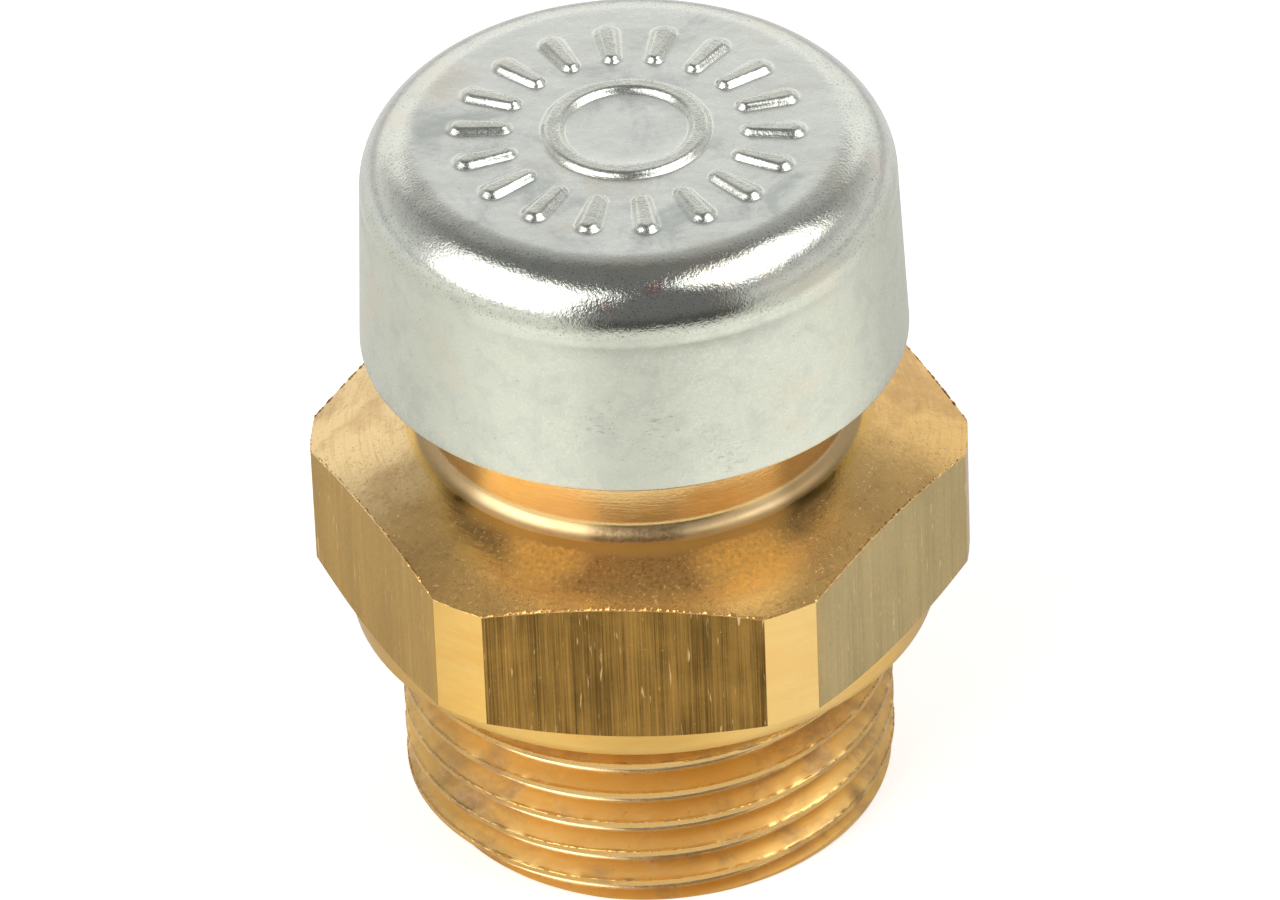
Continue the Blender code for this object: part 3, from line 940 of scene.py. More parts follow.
@dataclass(frozen=True)
class KnittedWire:
    """Pad of knitted wire: bright loops over gaps painted dark as shade."""

    wire_colour: Colour = (0.66, 0.65, 0.62)
    painted_gap_shade: Colour = (0.05, 0.05, 0.05)
    loops_per_metre: float = 2300.0

    def material(self) -> bpy.types.Material:
        """Makes the material."""
        bench = Bench("knitted_wire")
        node = bench.add("ShaderNodeTexVoronoi")
        node.feature = "DISTANCE_TO_EDGE"
        bench.feed(node.inputs["Vector"], bench.place)
        bench.feed(node.inputs["Scale"], self.loops_per_metre)
        strand = bench.remap(node.outputs["Distance"], 0.05, 0.16, 1.0, 0.0)
        # Painted shade: the gaps between the loops are near black.
        colour = bench.blend(strand, self.painted_gap_shade, self.wire_colour)
        return bench.finish(colour, 0.35, bench.dent(strand, 60.0e-6))


@dataclass(frozen=True)
class NitrileRubber:
    """Black moulded rubber with a faint bloom."""

    black: Colour = (0.020, 0.020, 0.022)
    bloom: Colour = (0.055, 0.055, 0.055)

    def material(self) -> bpy.types.Material:
        """Makes the material."""
        bench = Bench("nitrile_rubber")
        grains = bench.speckle(bench.place, 3000.0, 3.0, 0.65)
        colour = bench.blend(bench.remap(grains, 0.4, 0.75), self.black, self.bloom)
        roughness = bench.remap(grains, 0.3, 0.7, 0.5, 0.68)
        return bench.finish(colour, roughness, bench.dent(grains, 6.0e-6), metallic=0.0)


# Plug


@dataclass
class ScrewPlug:
    """The brass body in one piece: thread, collar, hexagon, neck with bead, valve lip and stepped bore."""

    steps: int = 360
    thread_r: float = 10.0 * MM
    root_r: float = 9.08 * MM
    root_round: float = 0.24 * MM
    pitch: float = 1.5 * MM
    crest_width: float = 0.21 * MM
    first_crest_z: float = 1.19 * MM
    end_chamfer: float = 0.4 * MM
    runout_z: float = 7.33 * MM
    thread_top_z: float = 8.3 * MM
    face_z: float = 9.25 * MM
    face_in_r: float = 10.2 * MM
    relief_sink: float = 0.2 * MM
    collar_r: float = 11.9 * MM
    collar_top_z: float = 10.28 * MM
    collar_edge: float = 0.12 * MM
    flat_r: float = 12.0 * MM
    flat_half_angle: float = math.radians(25)
    corner_low_z: float = 10.909 * MM
    corner_high_z: float = 16.259 * MM
    corner_solid_r: float = 13.25 * MM
    under_slope: float = math.radians(25)
    top_slope: float = math.radians(19)
    warp_in_r: float = 11.6 * MM
    burr_diameter: float = 0.17 * MM
    torn_diameter: float = 0.09 * MM
    torn_width: float = 0.07 * MM
    torn_depth: float = 0.02 * MM
    torn_rise: float = 0.04 * MM
    burr_steps: int = 240
    burr_reach: float = math.radians(29.5)
    neck_r: float = 8.5 * MM
    neck_fillet: float = 0.7 * MM
    bead_r: float = 9.1 * MM
    bead_chamfer: float = 0.4 * MM
    bead_under_z: float = 23.495 * MM
    neck_face_z: float = 24.595 * MM
    seat_z: float = 24.995 * MM
    lip_r: float = 4.2 * MM
    lip_slope: float = 0.2 * MM
    seat_bore_r: float = 3.4 * MM
    roof_z: float = 21.995 * MM
    filter_bore_r: float = 6.4 * MM
    guard_bore_r: float = 7.4 * MM
    groove_depth: float = 0.5 * MM
    half_groove: float = 0.5 * MM
    filter_ring_z: float = 9.345 * MM
    guard_ring_z: float = 5.3 * MM
    guard_shoulder_z: float = 6.65 * MM
    mouth_chamfer: float = 0.3 * MM

    @property
    def corner_r(self) -> float:
        """Radius of the turned corners of the hexagon."""
        return self.flat_r / math.cos(self.flat_half_angle)

    def outline(self) -> Profile:
        """Half section of all but the thread, from the relief up, over the neck and down the bore."""
        turn = 90 - math.degrees(self.top_slope)
        fillet_r = self.neck_r + self.neck_fillet
        fillet_z = self.cone_z(self.neck_r) + self.neck_fillet * math.tan(math.radians(turn / 2))
        fillet = arc((fillet_r, fillet_z), self.neck_fillet, 180 + turn, 180, 9)
        edge = self.collar_edge
        points: Profile = [(self.root_r, self.thread_top_z)]
        sunk = (self.root_r + 0.1 * MM, self.face_z + self.relief_sink * 0.9, 1)
        flat = [(self.face_in_r, self.face_z, 4), (self.collar_r - edge, self.face_z, 4)]
        onward(points, [(self.root_r, self.face_z, 3), sunk, *flat])
        points += arc((self.collar_r - edge, self.face_z + edge), edge, -90, 0, 4)[1:]
        points += line(points[-1], (self.collar_r, self.collar_top_z), 5)
        under = (self.corner_r - self.collar_r, self.corner_low_z - self.collar_top_z)
        points += [
            (self.collar_r + under[0] * share, self.collar_top_z + under[1] * share)
            for share in (0.02, 0.08, 0.2, 0.4, 0.6, 0.8, 0.93)
        ]
        wall = (0.0, 0.02, 0.06, 0.14, 0.26, 0.38, 0.5, 0.62, 0.74, 0.86, 0.94, 0.975, 0.99, 1.0)
        rise = self.corner_high_z - self.corner_low_z
        points += [(self.corner_r, self.corner_low_z + rise * share) for share in wall]
        for share in (0.03, 0.08, 0.16, 0.3, 0.5, 0.75, 1.0):
            radius = self.corner_r + (self.warp_in_r - self.corner_r) * share
            points.append((radius, self.cone_z(radius)))
        points += line(points[-1], fillet[0], 10)
        points += fillet[1:]
        neck = [
            (self.neck_r, self.bead_under_z, 6),
            (self.bead_r, self.bead_under_z, 2),
            (self.bead_r, self.neck_face_z - self.bead_chamfer, 2),
            (self.bead_r - self.bead_chamfer, self.neck_face_z, 2),
            (self.lip_r, self.neck_face_z, 3),
            (self.lip_r - self.lip_slope, self.seat_z, 2),
            (self.seat_bore_r, self.seat_z, 2),
            (self.seat_bore_r, self.roof_z, 2),
            (self.filter_bore_r, self.roof_z, 2),
        ]
        onward(points, neck)
        points += self.groove(self.filter_bore_r, self.filter_ring_z)
        shoulder = [(r, self.guard_shoulder_z, 2) for r in (self.filter_bore_r, self.guard_bore_r)]
        onward(points, shoulder)
        points += self.groove(self.guard_bore_r, self.guard_ring_z)
        mouth = [
            (self.guard_bore_r, self.mouth_chamfer, 4),
            (self.guard_bore_r + self.mouth_chamfer, 0.0, 2),
            (self.root_r - 0.3 * MM, 0.0, 3),
        ]
        onward(points, mouth)
        points.append((self.root_r - 0.1 * MM, 0.0))
        return points

    def groove(self, bore_r: float, middle_z: float) -> Profile:
        """Square groove for a wire ring, cut into a bore from the top down."""
        deep_r = bore_r + self.groove_depth
        high_z = middle_z + self.half_groove
        low_z = middle_z - self.half_groove
        return [(bore_r, high_z), (deep_r, high_z), (deep_r, low_z), (bore_r, low_z)]

    def cone_z(self, radius: float | np.ndarray) -> float | np.ndarray:
        """Height of the turned top slope at a radius."""
        return self.corner_high_z + (self.corner_solid_r - radius) * math.tan(self.top_slope)

    def under_z(self, radius: np.ndarray) -> np.ndarray:
        """Height of the slope under the flats at a radius."""
        return self.collar_top_z + (radius - self.collar_r) * math.tan(self.under_slope)

    def above_crest(self, angle: np.ndarray, z: np.ndarray) -> np.ndarray:
        """Height above the middle of the nearest crest of the thread."""
        crest_z = self.first_crest_z + self.pitch * (angle - FRONT) / FULL_TURN
        return (z - crest_z + self.pitch / 2) % self.pitch - self.pitch / 2

    def thread_radius(self, angle: np.ndarray, z: np.ndarray) -> np.ndarray:
        """Radius of the right-hand thread, its end chamfer and its runout.

        Args:
            angle: Angles about Z.
            z: Heights.

        Returns:
            The radii.
        """
        offset = np.abs(self.above_crest(angle, z))
        flank = self.thread_r - np.maximum(offset - self.crest_width / 2, 0.0) * math.sqrt(3)
        apex_r = self.thread_r - (self.pitch - self.crest_width) / 2 * math.sqrt(3)
        from_root = self.pitch / 2 - offset
        hollow = np.sqrt(np.maximum(self.root_round**2 - from_root**2, 0.0))
        in_root = from_root < self.root_round * math.sin(math.pi / 3)
        radius = np.where(in_root, apex_r + 2 * self.root_round - hollow, flank)
        radius = np.minimum(radius, self.thread_r - self.end_chamfer + z)
        runout = np.maximum(self.thread_r - np.maximum(z - self.runout_z, 0.0), self.root_r)
        return np.minimum(radius, runout)

    def mill_hexagon(self, obj: bpy.types.Object) -> None:
        """Draws the turned blank in to the six flats, so that their edges lie on rows of vertices.

        Args:
            obj: The turned blank.
        """
        points = read_points(obj)
        radius, angle = polar(points)
        z = points[:, 2]
        off = from_middle(angle, 6, FRONT)
        within = np.abs(off) <= self.flat_half_angle + 1e-6
        limit = np.where(within, self.flat_r / np.cos(off), self.corner_r)
        tiny = 1e-7
        outer = z > self.collar_top_z + tiny
        outer &= z < self.cone_z(self.warp_in_r) - tiny
        outer &= radius > self.collar_r - 0.5 * MM
        under = outer & (z < self.corner_low_z) & (radius < self.corner_r - tiny * 5)
        under &= radius > self.collar_r + tiny
        wall = outer & (np.abs(radius - self.corner_r) < tiny * 5)
        cone = outer & (z > self.corner_high_z) & (radius < self.corner_r - tiny * 5)
        low_limit = self.under_z(limit)
        share = (z - self.corner_low_z) / (self.corner_high_z - self.corner_low_z)
        new_r = radius.copy()
        new_z = z.copy()
        new_r[wall] = limit[wall]
        new_z[wall] = (low_limit + (self.cone_z(limit) - low_limit) * share)[wall]
        pull = (radius - self.warp_in_r) / (self.corner_r - self.warp_in_r)
        new_r[cone] = (self.warp_in_r + pull * (limit - self.warp_in_r))[cone]
        new_z[cone] = self.cone_z(new_r)[cone]
        pull = (radius - self.collar_r) / (self.corner_r - self.collar_r)
        new_r[under] = (self.collar_r + pull * (limit - self.collar_r))[under]
        new_z[under] = self.under_z(new_r)[under]
        write_polar(obj, new_r, angle, new_z)

    def burr(self) -> list[bpy.types.Object]:
        """Lumpy beads of metal that the turning tool pushed over the edges of the six flats.

        Returns:
            The beads.
        """
        beads = []
        for side in range(6):
            middle = FRONT + side * math.pi / 3
            places = []
            swell = []
            for i in range(self.burr_steps + 1):
                off = self.burr_reach * (2 * i / self.burr_steps - 1)
                radius = self.flat_r / math.cos(min(abs(off), self.flat_half_angle))
                angle = middle + off
                lump = 0.55 + 0.9 * ripple(angle, 0.0, 40.0, 3.1) + 0.9 * ripple(angle, 0.0, 110.0, 8.2)
                lump = min(max(lump, 0.2), 1.2)
                if abs(off) > self.flat_half_angle:
                    lump *= 0.45
                if side:
                    lump *= 0.8 if side in (1, 5) else 0.5
                rise = self.burr_diameter * 0.25 * (lump - 0.4) + 0.02 * MM * ripple(angle, 5.0, 70.0, 1.9)
                radius -= 0.01 * MM
                places.append(around(radius, angle, self.cone_z(radius) + rise))
                swell.append(lump)
            beads.append(wire(f"burr_{side}", places, self.burr_diameter, swell))
        return beads

    def torn_edge(self, finish: bpy.types.Material) -> bpy.types.Object:
        """Makes and dresses the ragged edge that the tool tore along the top of the thread's crest.

        Args:
            finish: The thread's finish.

        Returns:
            The bead along the crest.
        """
        low_z = 0.55 * MM
        rise = self.runout_z + 0.1 * MM - low_z
        count = int(rise / self.pitch * 620)
        places = []
        swell = []
        for i in range(count + 1):
            z = low_z + rise * i / count
            angle = (z - self.first_crest_z - self.crest_width / 2) / self.pitch * FULL_TURN + FRONT
            lump = 0.65 + 0.7 * ripple(angle, z / MM, 75.0, 4.4) + 0.6 * ripple(angle, z / MM, 200.0, 6.7)
            patch = min(max(0.5 + 3.0 * ripple(angle, 0.3 * z / MM, 5.0, 2.2), 0.0), 1.0)
            lump = min(max(lump, 0.15), 1.1) * (0.3 + 0.7 * patch)
            radius = self.thread_r - 0.2 * self.torn_diameter
            lift = 0.03 * MM * ripple(angle, z / MM, 50.0, 9.3)
            places.append(around(radius, angle, z + lift))
            swell.append(lump)
        bead = wire("thread_burr", places, self.torn_diameter, swell)
        hand_over(bead, Body.PLUG, [finish])
        return bead

    def cut_thread(self) -> bpy.types.Object:
        """Sweeps one pitch of the thread up a screw path, then trims it to the shank.

        Returns:
            The thread, open at its bottom and top circles.
        """
        half = self.crest_width / 2
        middle = self.pitch / 2
        reach = self.root_round * math.sin(math.pi / 3)
        lower = [0.0, half - 0.05 * MM, half, half + 0.03 * MM, half + 0.08 * MM, (half + middle - reach) / 2]
        root = [middle + reach * share for share in (-1.0, -0.8, -0.6, -0.4, -0.2, 0.0)]
        rising = lower + root
        falling = [self.pitch - offset for offset in reversed(rising[1:-1])]
        turns = math.ceil(self.thread_top_z / self.pitch) + 3
        start_z = self.first_crest_z + self.pitch / 4 - 2 * self.pitch
        section = [(self.thread_r, start_z + offset) for offset in (*rising, *falling, self.pitch)]
        obj = extruded_section("thread", section)
        bpy.ops.object.mode_set(mode="OBJECT")
        screw = obj.modifiers.new("Helix", "SCREW")
        screw.axis = "Z"
        screw.angle = FULL_TURN
        screw.screw_offset = self.pitch
        screw.iterations = turns
        screw.steps = self.steps
        screw.render_steps = self.steps
        apply_modifiers(obj)
        points = read_points(obj)
        angle = from_front(polar(points)[1])
        z = np.clip(points[:, 2], 0.0, self.thread_top_z)
        radius = self.thread_radius(angle, z)
        above = self.above_crest(angle, z) - half
        for i in np.nonzero((radius > self.thread_r - 0.15 * MM) & (z > 0.3 * MM))[0]:
            turn = z[i] / MM * 2.0
            torn = ripple(angle[i], turn, 60.0, 1.7) + 0.8 * ripple(angle[i], turn * 2.0, 150.0, 5.5)
            on_edge = max(1.0 - abs(above[i]) / self.torn_width, 0.0)
            radius[i] += self.torn_depth * on_edge * torn
            z[i] += self.torn_rise * on_edge * torn
        write_polar(obj, radius, angle, z)
        return obj

    def build(self, finishes: Sequence[bpy.types.Material]) -> bpy.types.Object:
        """Makes and dresses the plug.

        Args:
            finishes: The turned, the drawn and the thread finish.

        Returns:
            The plug.
        """
        plug = turned("plug_body", self.outline(), self.steps)
        self.mill_hexagon(plug)
        points = read_points(plug)
        radius, angle = polar(points)
        angle = from_front(angle)
        rim = (np.abs(radius - (self.root_r - 0.1 * MM)) < 1e-6) & (points[:, 2] < 1e-6)
        reach = self.thread_radius(angle[rim], points[rim, 2])
        points[rim, 0] = reach * np.cos(angle[rim])
        points[rim, 1] = reach * np.sin(angle[rim])
        write_points(plug, points)
        join(plug, [self.cut_thread()])
        weld(plug)
        smooth_by(plug, 20.0)
        join(plug, self.burr())
        centres = face_centres(plug)
        face_r, face_angle = polar(centres)
        off = from_middle(face_angle, 6, FRONT)
        plane = np.abs(face_r * np.cos(off) - self.flat_r) < 0.03 * MM
        drawn = plane & (np.abs(off) < self.flat_half_angle)
        drawn &= centres[:, 2] < self.cone_z(self.flat_r / np.cos(off)) - 0.05 * MM
        drawn &= (centres[:, 2] > self.collar_top_z) & (centres[:, 2] < self.cone_z(self.flat_r))
        thread = (centres[:, 2] < self.thread_top_z) & (face_r > self.root_r - 0.05 * MM)
        kinds = np.where(drawn, 1, np.where(thread, 2, 0)).astype(np.int32)
        plug.data.polygons.foreach_set("material_index", kinds)
        hand_over(plug, Body.PLUG, finishes, "hex_body")
        return plug


# Cap


@dataclass
class PressedCap:
    """Deep-drawn cup with an embossed ring and a ring of grip ribs on its top."""

    steps: int = 480
    wall: float = 0.8 * MM
    top_z: float = 31.395 * MM
    rim_z: float = 21.745 * MM
    shoulder_r: float = 10.7 * MM
    rim_r: float = 11.0 * MM
    corner_radius: float = 2.4 * MM
    step_drop: float = 0.34 * MM
    rim_edge: float = 0.14 * MM
    ring_r: float = 2.93 * MM
    ring_half_width: float = 0.48 * MM
    rib_count: int = 18
    rib_in_r: float = 4.95 * MM
    rib_out_r: float = 6.6 * MM
    rib_narrow: float = 0.40 * MM
    rib_wide: float = 0.54 * MM
    relief: float = 0.24 * MM

    def outline(self) -> Profile:
        """Half section from the middle of the top, down the outside and up the inside."""
        crown = (self.shoulder_r - self.corner_radius, self.top_z - self.corner_radius)
        points: Profile = [(0.0, self.top_z), (0.8 * MM, self.top_z), (1.7 * MM, self.top_z)]
        points += line((2.3 * MM, self.top_z), (3.55 * MM, self.top_z), 18)
        flat_top = ((4.2 * MM, 3), (7.3 * MM, 38), (crown[0], 4))
        onward(points, [(r, self.top_z, count) for r, count in flat_top])
        points += arc(crown, self.corner_radius, 90, 0, 20)[1:]
        step_z = crown[1] - self.step_drop
        points += line(points[-1], (self.side_r(step_z + 0.12 * MM), step_z + 0.12 * MM), 2)
        points.append((self.side_r(step_z) - 0.03 * MM, step_z))
        points.append((self.side_r(step_z - 0.15 * MM) - 0.005 * MM, step_z - 0.15 * MM))
        edge = self.rim_edge
        points += line(points[-1], (self.rim_r, self.rim_z + edge), 10)
        points += arc((self.rim_r - edge, self.rim_z + edge), edge, 0, -90, 3)[1:]
        points += line(points[-1], (self.rim_r - self.wall + 0.06 * MM, self.rim_z), 2)
        points.append((self.rim_r - self.wall, self.rim_z + 0.06 * MM))
        points += line(points[-1], (self.shoulder_r - self.wall, crown[1]), 5)
        points += arc(crown, self.corner_radius - self.wall, 0, 90, 8)[1:]
        points += line(points[-1], (0.0, self.top_z - self.wall), 5)
        return points

    def side_r(self, z: float) -> float:
        """Outer radius of the flared side at a height."""
        high_z = self.top_z - self.corner_radius
        share = (high_z - z) / (high_z - self.rim_z)
        return self.shoulder_r + (self.rim_r - self.shoulder_r) * share

    def emboss(self, obj: bpy.types.Object) -> None:
        """Raises the ring and the ribs out of the flat top.

        Args:
            obj: The turned cup.
        """
        points = read_points(obj)
        radius, angle = polar(points)
        top = (np.abs(points[:, 2] - self.top_z) < 1e-7) & (radius < 8.0 * MM)
        ring_off = np.abs(radius - self.ring_r) / self.ring_half_width
        off = from_middle(angle, self.rib_count)
        along = radius * np.cos(off)
        across = radius * np.abs(np.sin(off))
        share = np.clip((along - self.rib_in_r) / (self.rib_out_r - self.rib_in_r), 0.0, 1.0)
        half_width = self.rib_narrow + (self.rib_wide - self.rib_narrow) * share
        beyond = along - np.clip(along, self.rib_in_r, self.rib_out_r)
        rib_off = np.hypot(across, beyond) / half_width
        rise = np.zeros(len(points))
        for off_centre in (ring_off, rib_off):
            edge = np.clip((1.1 - off_centre) / 0.65, 0.0, 1.0)
            rise = np.maximum(rise, self.relief * edge * edge * (3 - 2 * edge))
        points[top, 2] += rise[top]
        write_points(obj, points)

    def build(self, finish: bpy.types.Material) -> bpy.types.Object:
        """Makes and dresses the cap.

        Args:
            finish: Its zinc finish.

        Returns:
            The cap.
        """
        cup = turned("cap_shell", self.outline(), self.steps)
        self.emboss(cup)
        smooth_by(cup, 40.0)
        hand_over(cup, Body.CAP, [finish], "cap")
        return cup


# Valve and filter


@dataclass
class ValveSpring:
    """Conical compression spring between the valve disc and the spider."""

    wire_diameter: float = 0.5 * MM
    low_diameter: float = 11.0 * MM
    top_diameter: float = 6.4 * MM
    turns: float = 3.5
    end_turns: float = 0.75
    low_z: float = 26.845 * MM
    top_z: float = 30.145 * MM
    travel: float = 1.2 * MM
    steps_per_turn: int = 48

    def centre_line(self) -> list[Vector]:
        """Points of the wire from its wide low end to its narrow top end."""
        low_z = self.low_z + self.wire_diameter / 2
        high_z = self.top_z - self.wire_diameter / 2
        low_r = (self.low_diameter - self.wire_diameter) / 2
        top_r = (self.top_diameter - self.wire_diameter) / 2
        rising = self.turns - 2 * self.end_turns
        points = []
        for i in range(int(self.turns * self.steps_per_turn) + 1):
            turn = i / self.steps_per_turn
            share = min(max((turn - self.end_turns) / rising, 0.0), 1.0)
            radius = low_r + (top_r - low_r) * turn / self.turns
            angle = FULL_TURN * turn
            z = low_z + (high_z - low_z) * share
            points.append(around(radius, angle, z))
        return points

    def build(self, finish: bpy.types.Material) -> bpy.types.Object:
        """Winds and dresses the spring and gives it a mesh of its own. The real spring shortens as the valve
        lifts; here its shape stays fixed.
        """
        spring = wire("spring_wire", self.centre_line(), self.wire_diameter)
        hand_over(spring, Body.CAP, [finish], "valve_spring")
        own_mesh(spring)
        return spring


@dataclass
class SnapRing:
    """Open wire ring in a groove of the bore."""

    name: str
    stands_for: str
    bore_r: float
    z: float
    wire_diameter: float = 0.9 * MM
    show: float = 0.45 * MM
    opening: float = math.radians(28)
    steps: int = 96

    def build(self, finish: bpy.types.Material) -> bpy.types.Object:
        """Bends and dresses the ring."""
        radius = self.bore_r + self.wire_diameter / 2 - self.show
        span = FULL_TURN - self.opening
        points = []
        for i in range(self.steps + 1):
            angle = self.opening / 2 + span * i / self.steps
            points.append(around(radius, angle, self.z))
        ring = wire(self.name, points, self.wire_diameter)
        hand_over(ring, Body.PLUG, [finish], self.stands_for)
        return ring


@dataclass
class SplashGuard:
    """Dished plate with holes round its slope."""

    steps: int = 180
    radius: float = 7.3 * MM
    low_z: float = 5.8 * MM
    sheet: float = 0.8 * MM
    dish: float = 0.9 * MM
    rim_width: float = 1.3 * MM
    hole_diameter: float = 2.2 * MM
    holes: int = 5

    def build(self, finish: bpy.types.Material) -> bpy.types.Object:
        """Turns, drills and dresses the plate."""
        top_z = self.low_z + self.sheet
        out_r = self.radius - self.rim_width
        in_r = out_r - self.hole_diameter
        edge = 0.12 * MM
        drop = self.dish
        profile: Profile = [(0.0, top_z - drop), (in_r - 0.2 * MM, top_z - drop)]
        profile += [(in_r + 0.15 * MM, top_z - drop + 0.06 * MM), (out_r - 0.15 * MM, top_z - 0.06 * MM)]
        profile += [(out_r + 0.2 * MM, top_z), (self.radius - edge, top_z), (self.radius, top_z - edge)]
        profile += [(self.radius, self.low_z + edge), (self.radius - edge, self.low_z)]
        profile += [(out_r + 0.35 * MM, self.low_z), (out_r + 0.05 * MM, self.low_z - 0.06 * MM)]
        profile += [(in_r + 0.35 * MM, self.low_z - drop + 0.06 * MM), (in_r, self.low_z - drop)]
        profile += [(0.0, self.low_z - drop)]
        plate = turned("guard_plate", profile, self.steps)
        drills = []
        for i in range(self.holes):
            angle = FULL_TURN * (i + 0.5) / self.holes
            middle = (in_r + out_r) / 2
            clear_selection()
            bpy.ops.mesh.primitive_cylinder_add(
                vertices=40,
                radius=self.hole_diameter / 2,
                depth=4 * MM,
                location=around(middle, angle, self.low_z),
            )
            drills.append(bpy.context.active_object)
        join(drills[0], drills[1:])
        cut = plate.modifiers.new("Holes", "BOOLEAN")
        cut.operation = "DIFFERENCE"
        cut.object = drills[0]
        cut.solver = "EXACT"
        apply_modifiers(plate)
        bpy.data.objects.remove(drills[0], do_unlink=True)
        weld(plate)
        smooth_by(plate, 30.0)
        hand_over(plate, Body.PLUG, [finish], "splash_guard")
        return plate


@dataclass
class KeptSolids:
    """Solids whose shape is right already. They keep it and get a finish."""

    finishes: dict[str, bpy.types.Material]

    def dress(self, nodes: dict[str, bpy.types.Object]) -> None:
        """Gives each kept solid its finish.

        Args:
            nodes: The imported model's nodes by name.
        """
        for name, finish in self.finishes.items():
            solid = nodes[name]
            if not solid.material_slots:
                solid.data.materials.append(finish)
            for material_slot in solid.material_slots:
                material_slot.link = "OBJECT"
                material_slot.material = finish
            LOG.info("%s: kept solid, dressed in %s", name, finish.name)


# Studio


@dataclass
class Studio:
    """White floor and backdrop, two softboxes and the camera."""

    elevation: float = math.radians(36.99)
    azimuth: float = math.radians(4.43)
    roll: float = math.radians(-2.31)
    distance: float = 489.6 * MM
    aim_z: float = 15.13 * MM
    lens: float = 341.53
    lift: float = 0.3294 * MM
    aside: float = 0.011 * MM
    dark_azimuth: float = math.radians(16)
    dark_half_angle: float = math.radians(32)
    dark_blur: float = math.radians(8)
    backdrop: tuple[tuple[float, float], ...] = (
        (0.0, 0.85),
        (0.55, 0.95),
        (0.61, 0.45),
        (0.85, 0.34),
        (0.93, 0.17),
        (0.999, 0.17),
    )
    walls: tuple[tuple[float, float], ...] = (
        (0.0, 0.7),
        (0.17, 0.65),
        (0.33, 0.53),
        (0.5, 0.44),
        (0.7, 0.27),
        (0.86, 0.19),
        (0.999, 0.17),
    )
    bright_azimuth: float = math.radians(20)
    bright_half_angle: float = math.radians(80)
    bright_blur: float = math.radians(25)
    paper_azimuth: float = math.radians(-176)
    paper_half_angle: float = math.radians(40)
    paper_blur: float = math.radians(7)
    dark_side: Colour = (0.15, 0.15, 0.155)
    ahead_azimuth: float = math.radians(3)
    ahead_half_angle: float = math.radians(14)
    ahead_blur: float = math.radians(11)
    floor_size: float = 8.0
    floor_gap: float = 0.02 * MM
    table_edge: tuple[float, float] = (0.085, 0.12)
    ring_start: tuple[float, float] = (0.018, 0.027)
    ring_end: tuple[float, float] = (0.075, 0.055)
    floor_white: Colour = (0.92, 0.92, 0.92)
    table_dark: Colour = (0.12, 0.12, 0.12)
    floor_lit: float = 0.5
    floor_mirrored: float = 0.36
    lamp_distance: float = 0.5
    lamp_aim_z: float = 0.025

    @staticmethod
    def towards(azimuth: float, elevation: float) -> Vector:
        """Unit vector from the object, with the azimuth from the front towards +X."""
        return around(math.cos(elevation), azimuth + FRONT, math.sin(elevation))

    def camera(self) -> None:
        """Sets the camera at the photograph's viewing angle."""
        back = self.towards(self.azimuth, self.elevation)
        level = Vector((0.0, 0.0, 1.0)).cross(back).normalized()
        rise = back.cross(level)
        right = math.cos(self.roll) * level + math.sin(self.roll) * rise
        up = math.cos(self.roll) * rise - math.sin(self.roll) * level
        spot = Vector((0.0, 0.0, self.aim_z)) + back * self.distance + up * self.lift + right * self.aside
        clear_selection()
        bpy.ops.object.camera_add()
        camera = bpy.context.active_object
        camera.name = "camera"
        turn = Matrix((right, up, back)).transposed().to_4x4()
        camera.matrix_world = Matrix.Translation(spot) @ turn
        camera.data.lens = self.lens
        camera.data.sensor_width = 36.0
        camera.data.clip_start = 0.01
        camera.data.clip_end = 20.0
        bpy.context.scene.camera = camera

    def softbox(
        self, name: str, azimuth: float, elevation: float, width: float, height: float, glow: float
    ) -> None:
        """Adds a rectangular lamp that faces the object.

        Args:
            name: Name of the lamp.
            azimuth: Degrees from the camera's side towards +X.
            elevation: Degrees above the floor.
            width: Width in metres.
            height: Height in metres.
            glow: Radiance of its face.
        """
        away = self.towards(math.radians(azimuth), math.radians(elevation))
        place = Vector((0.0, 0.0, self.lamp_aim_z)) + away * self.lamp_distance
        clear_selection()
        bpy.ops.object.light_add(type="AREA", location=place)
        lamp = bpy.context.active_object
        lamp.name = name
        lamp.rotation_mode = "QUATERNION"
        lamp.rotation_quaternion = away.to_track_quat("Z", "Y")
        lamp.data.shape = "RECTANGLE"
        lamp.data.size = width
        lamp.data.size_y = height
        lamp.data.energy = glow * math.pi * width * height
        lamp.visible_camera = False

    def world(self) -> None:
        """White round the object for the camera, with a darker ceiling and camera side in reflections."""
        world = bpy.data.worlds.new("studio")
        bpy.context.scene.world = world
        world.use_nodes = True
        world.node_tree.nodes.clear()
        sky = Nodes(world.node_tree)
        out = sky.add("ShaderNodeOutputWorld")
        background = sky.add("ShaderNodeBackground")
        sky.feed(out.inputs["Surface"], background.outputs[0])
        x, y, z = sky.part(sky.add("ShaderNodeTexCoord").outputs["Generated"])
        path = sky.add("ShaderNodeLightPath")

        paper = self.sector(sky, x, y, self.paper_azimuth, self.paper_half_angle, self.paper_blur)
        room = sky.blend(paper, self.greys(sky, z, self.walls), self.greys(sky, z, self.backdrop))
        front = self.sector(sky, x, y, self.dark_azimuth, self.dark_half_angle, self.dark_blur)
        room = sky.blend(front, room, self.dark_side)
        seen = sky.maths("MAXIMUM", path.outputs["Is Camera Ray"], path.outputs["Is Transmission Ray"])
        sky.feed(background.inputs["Color"], sky.blend(seen, room, WHITE))

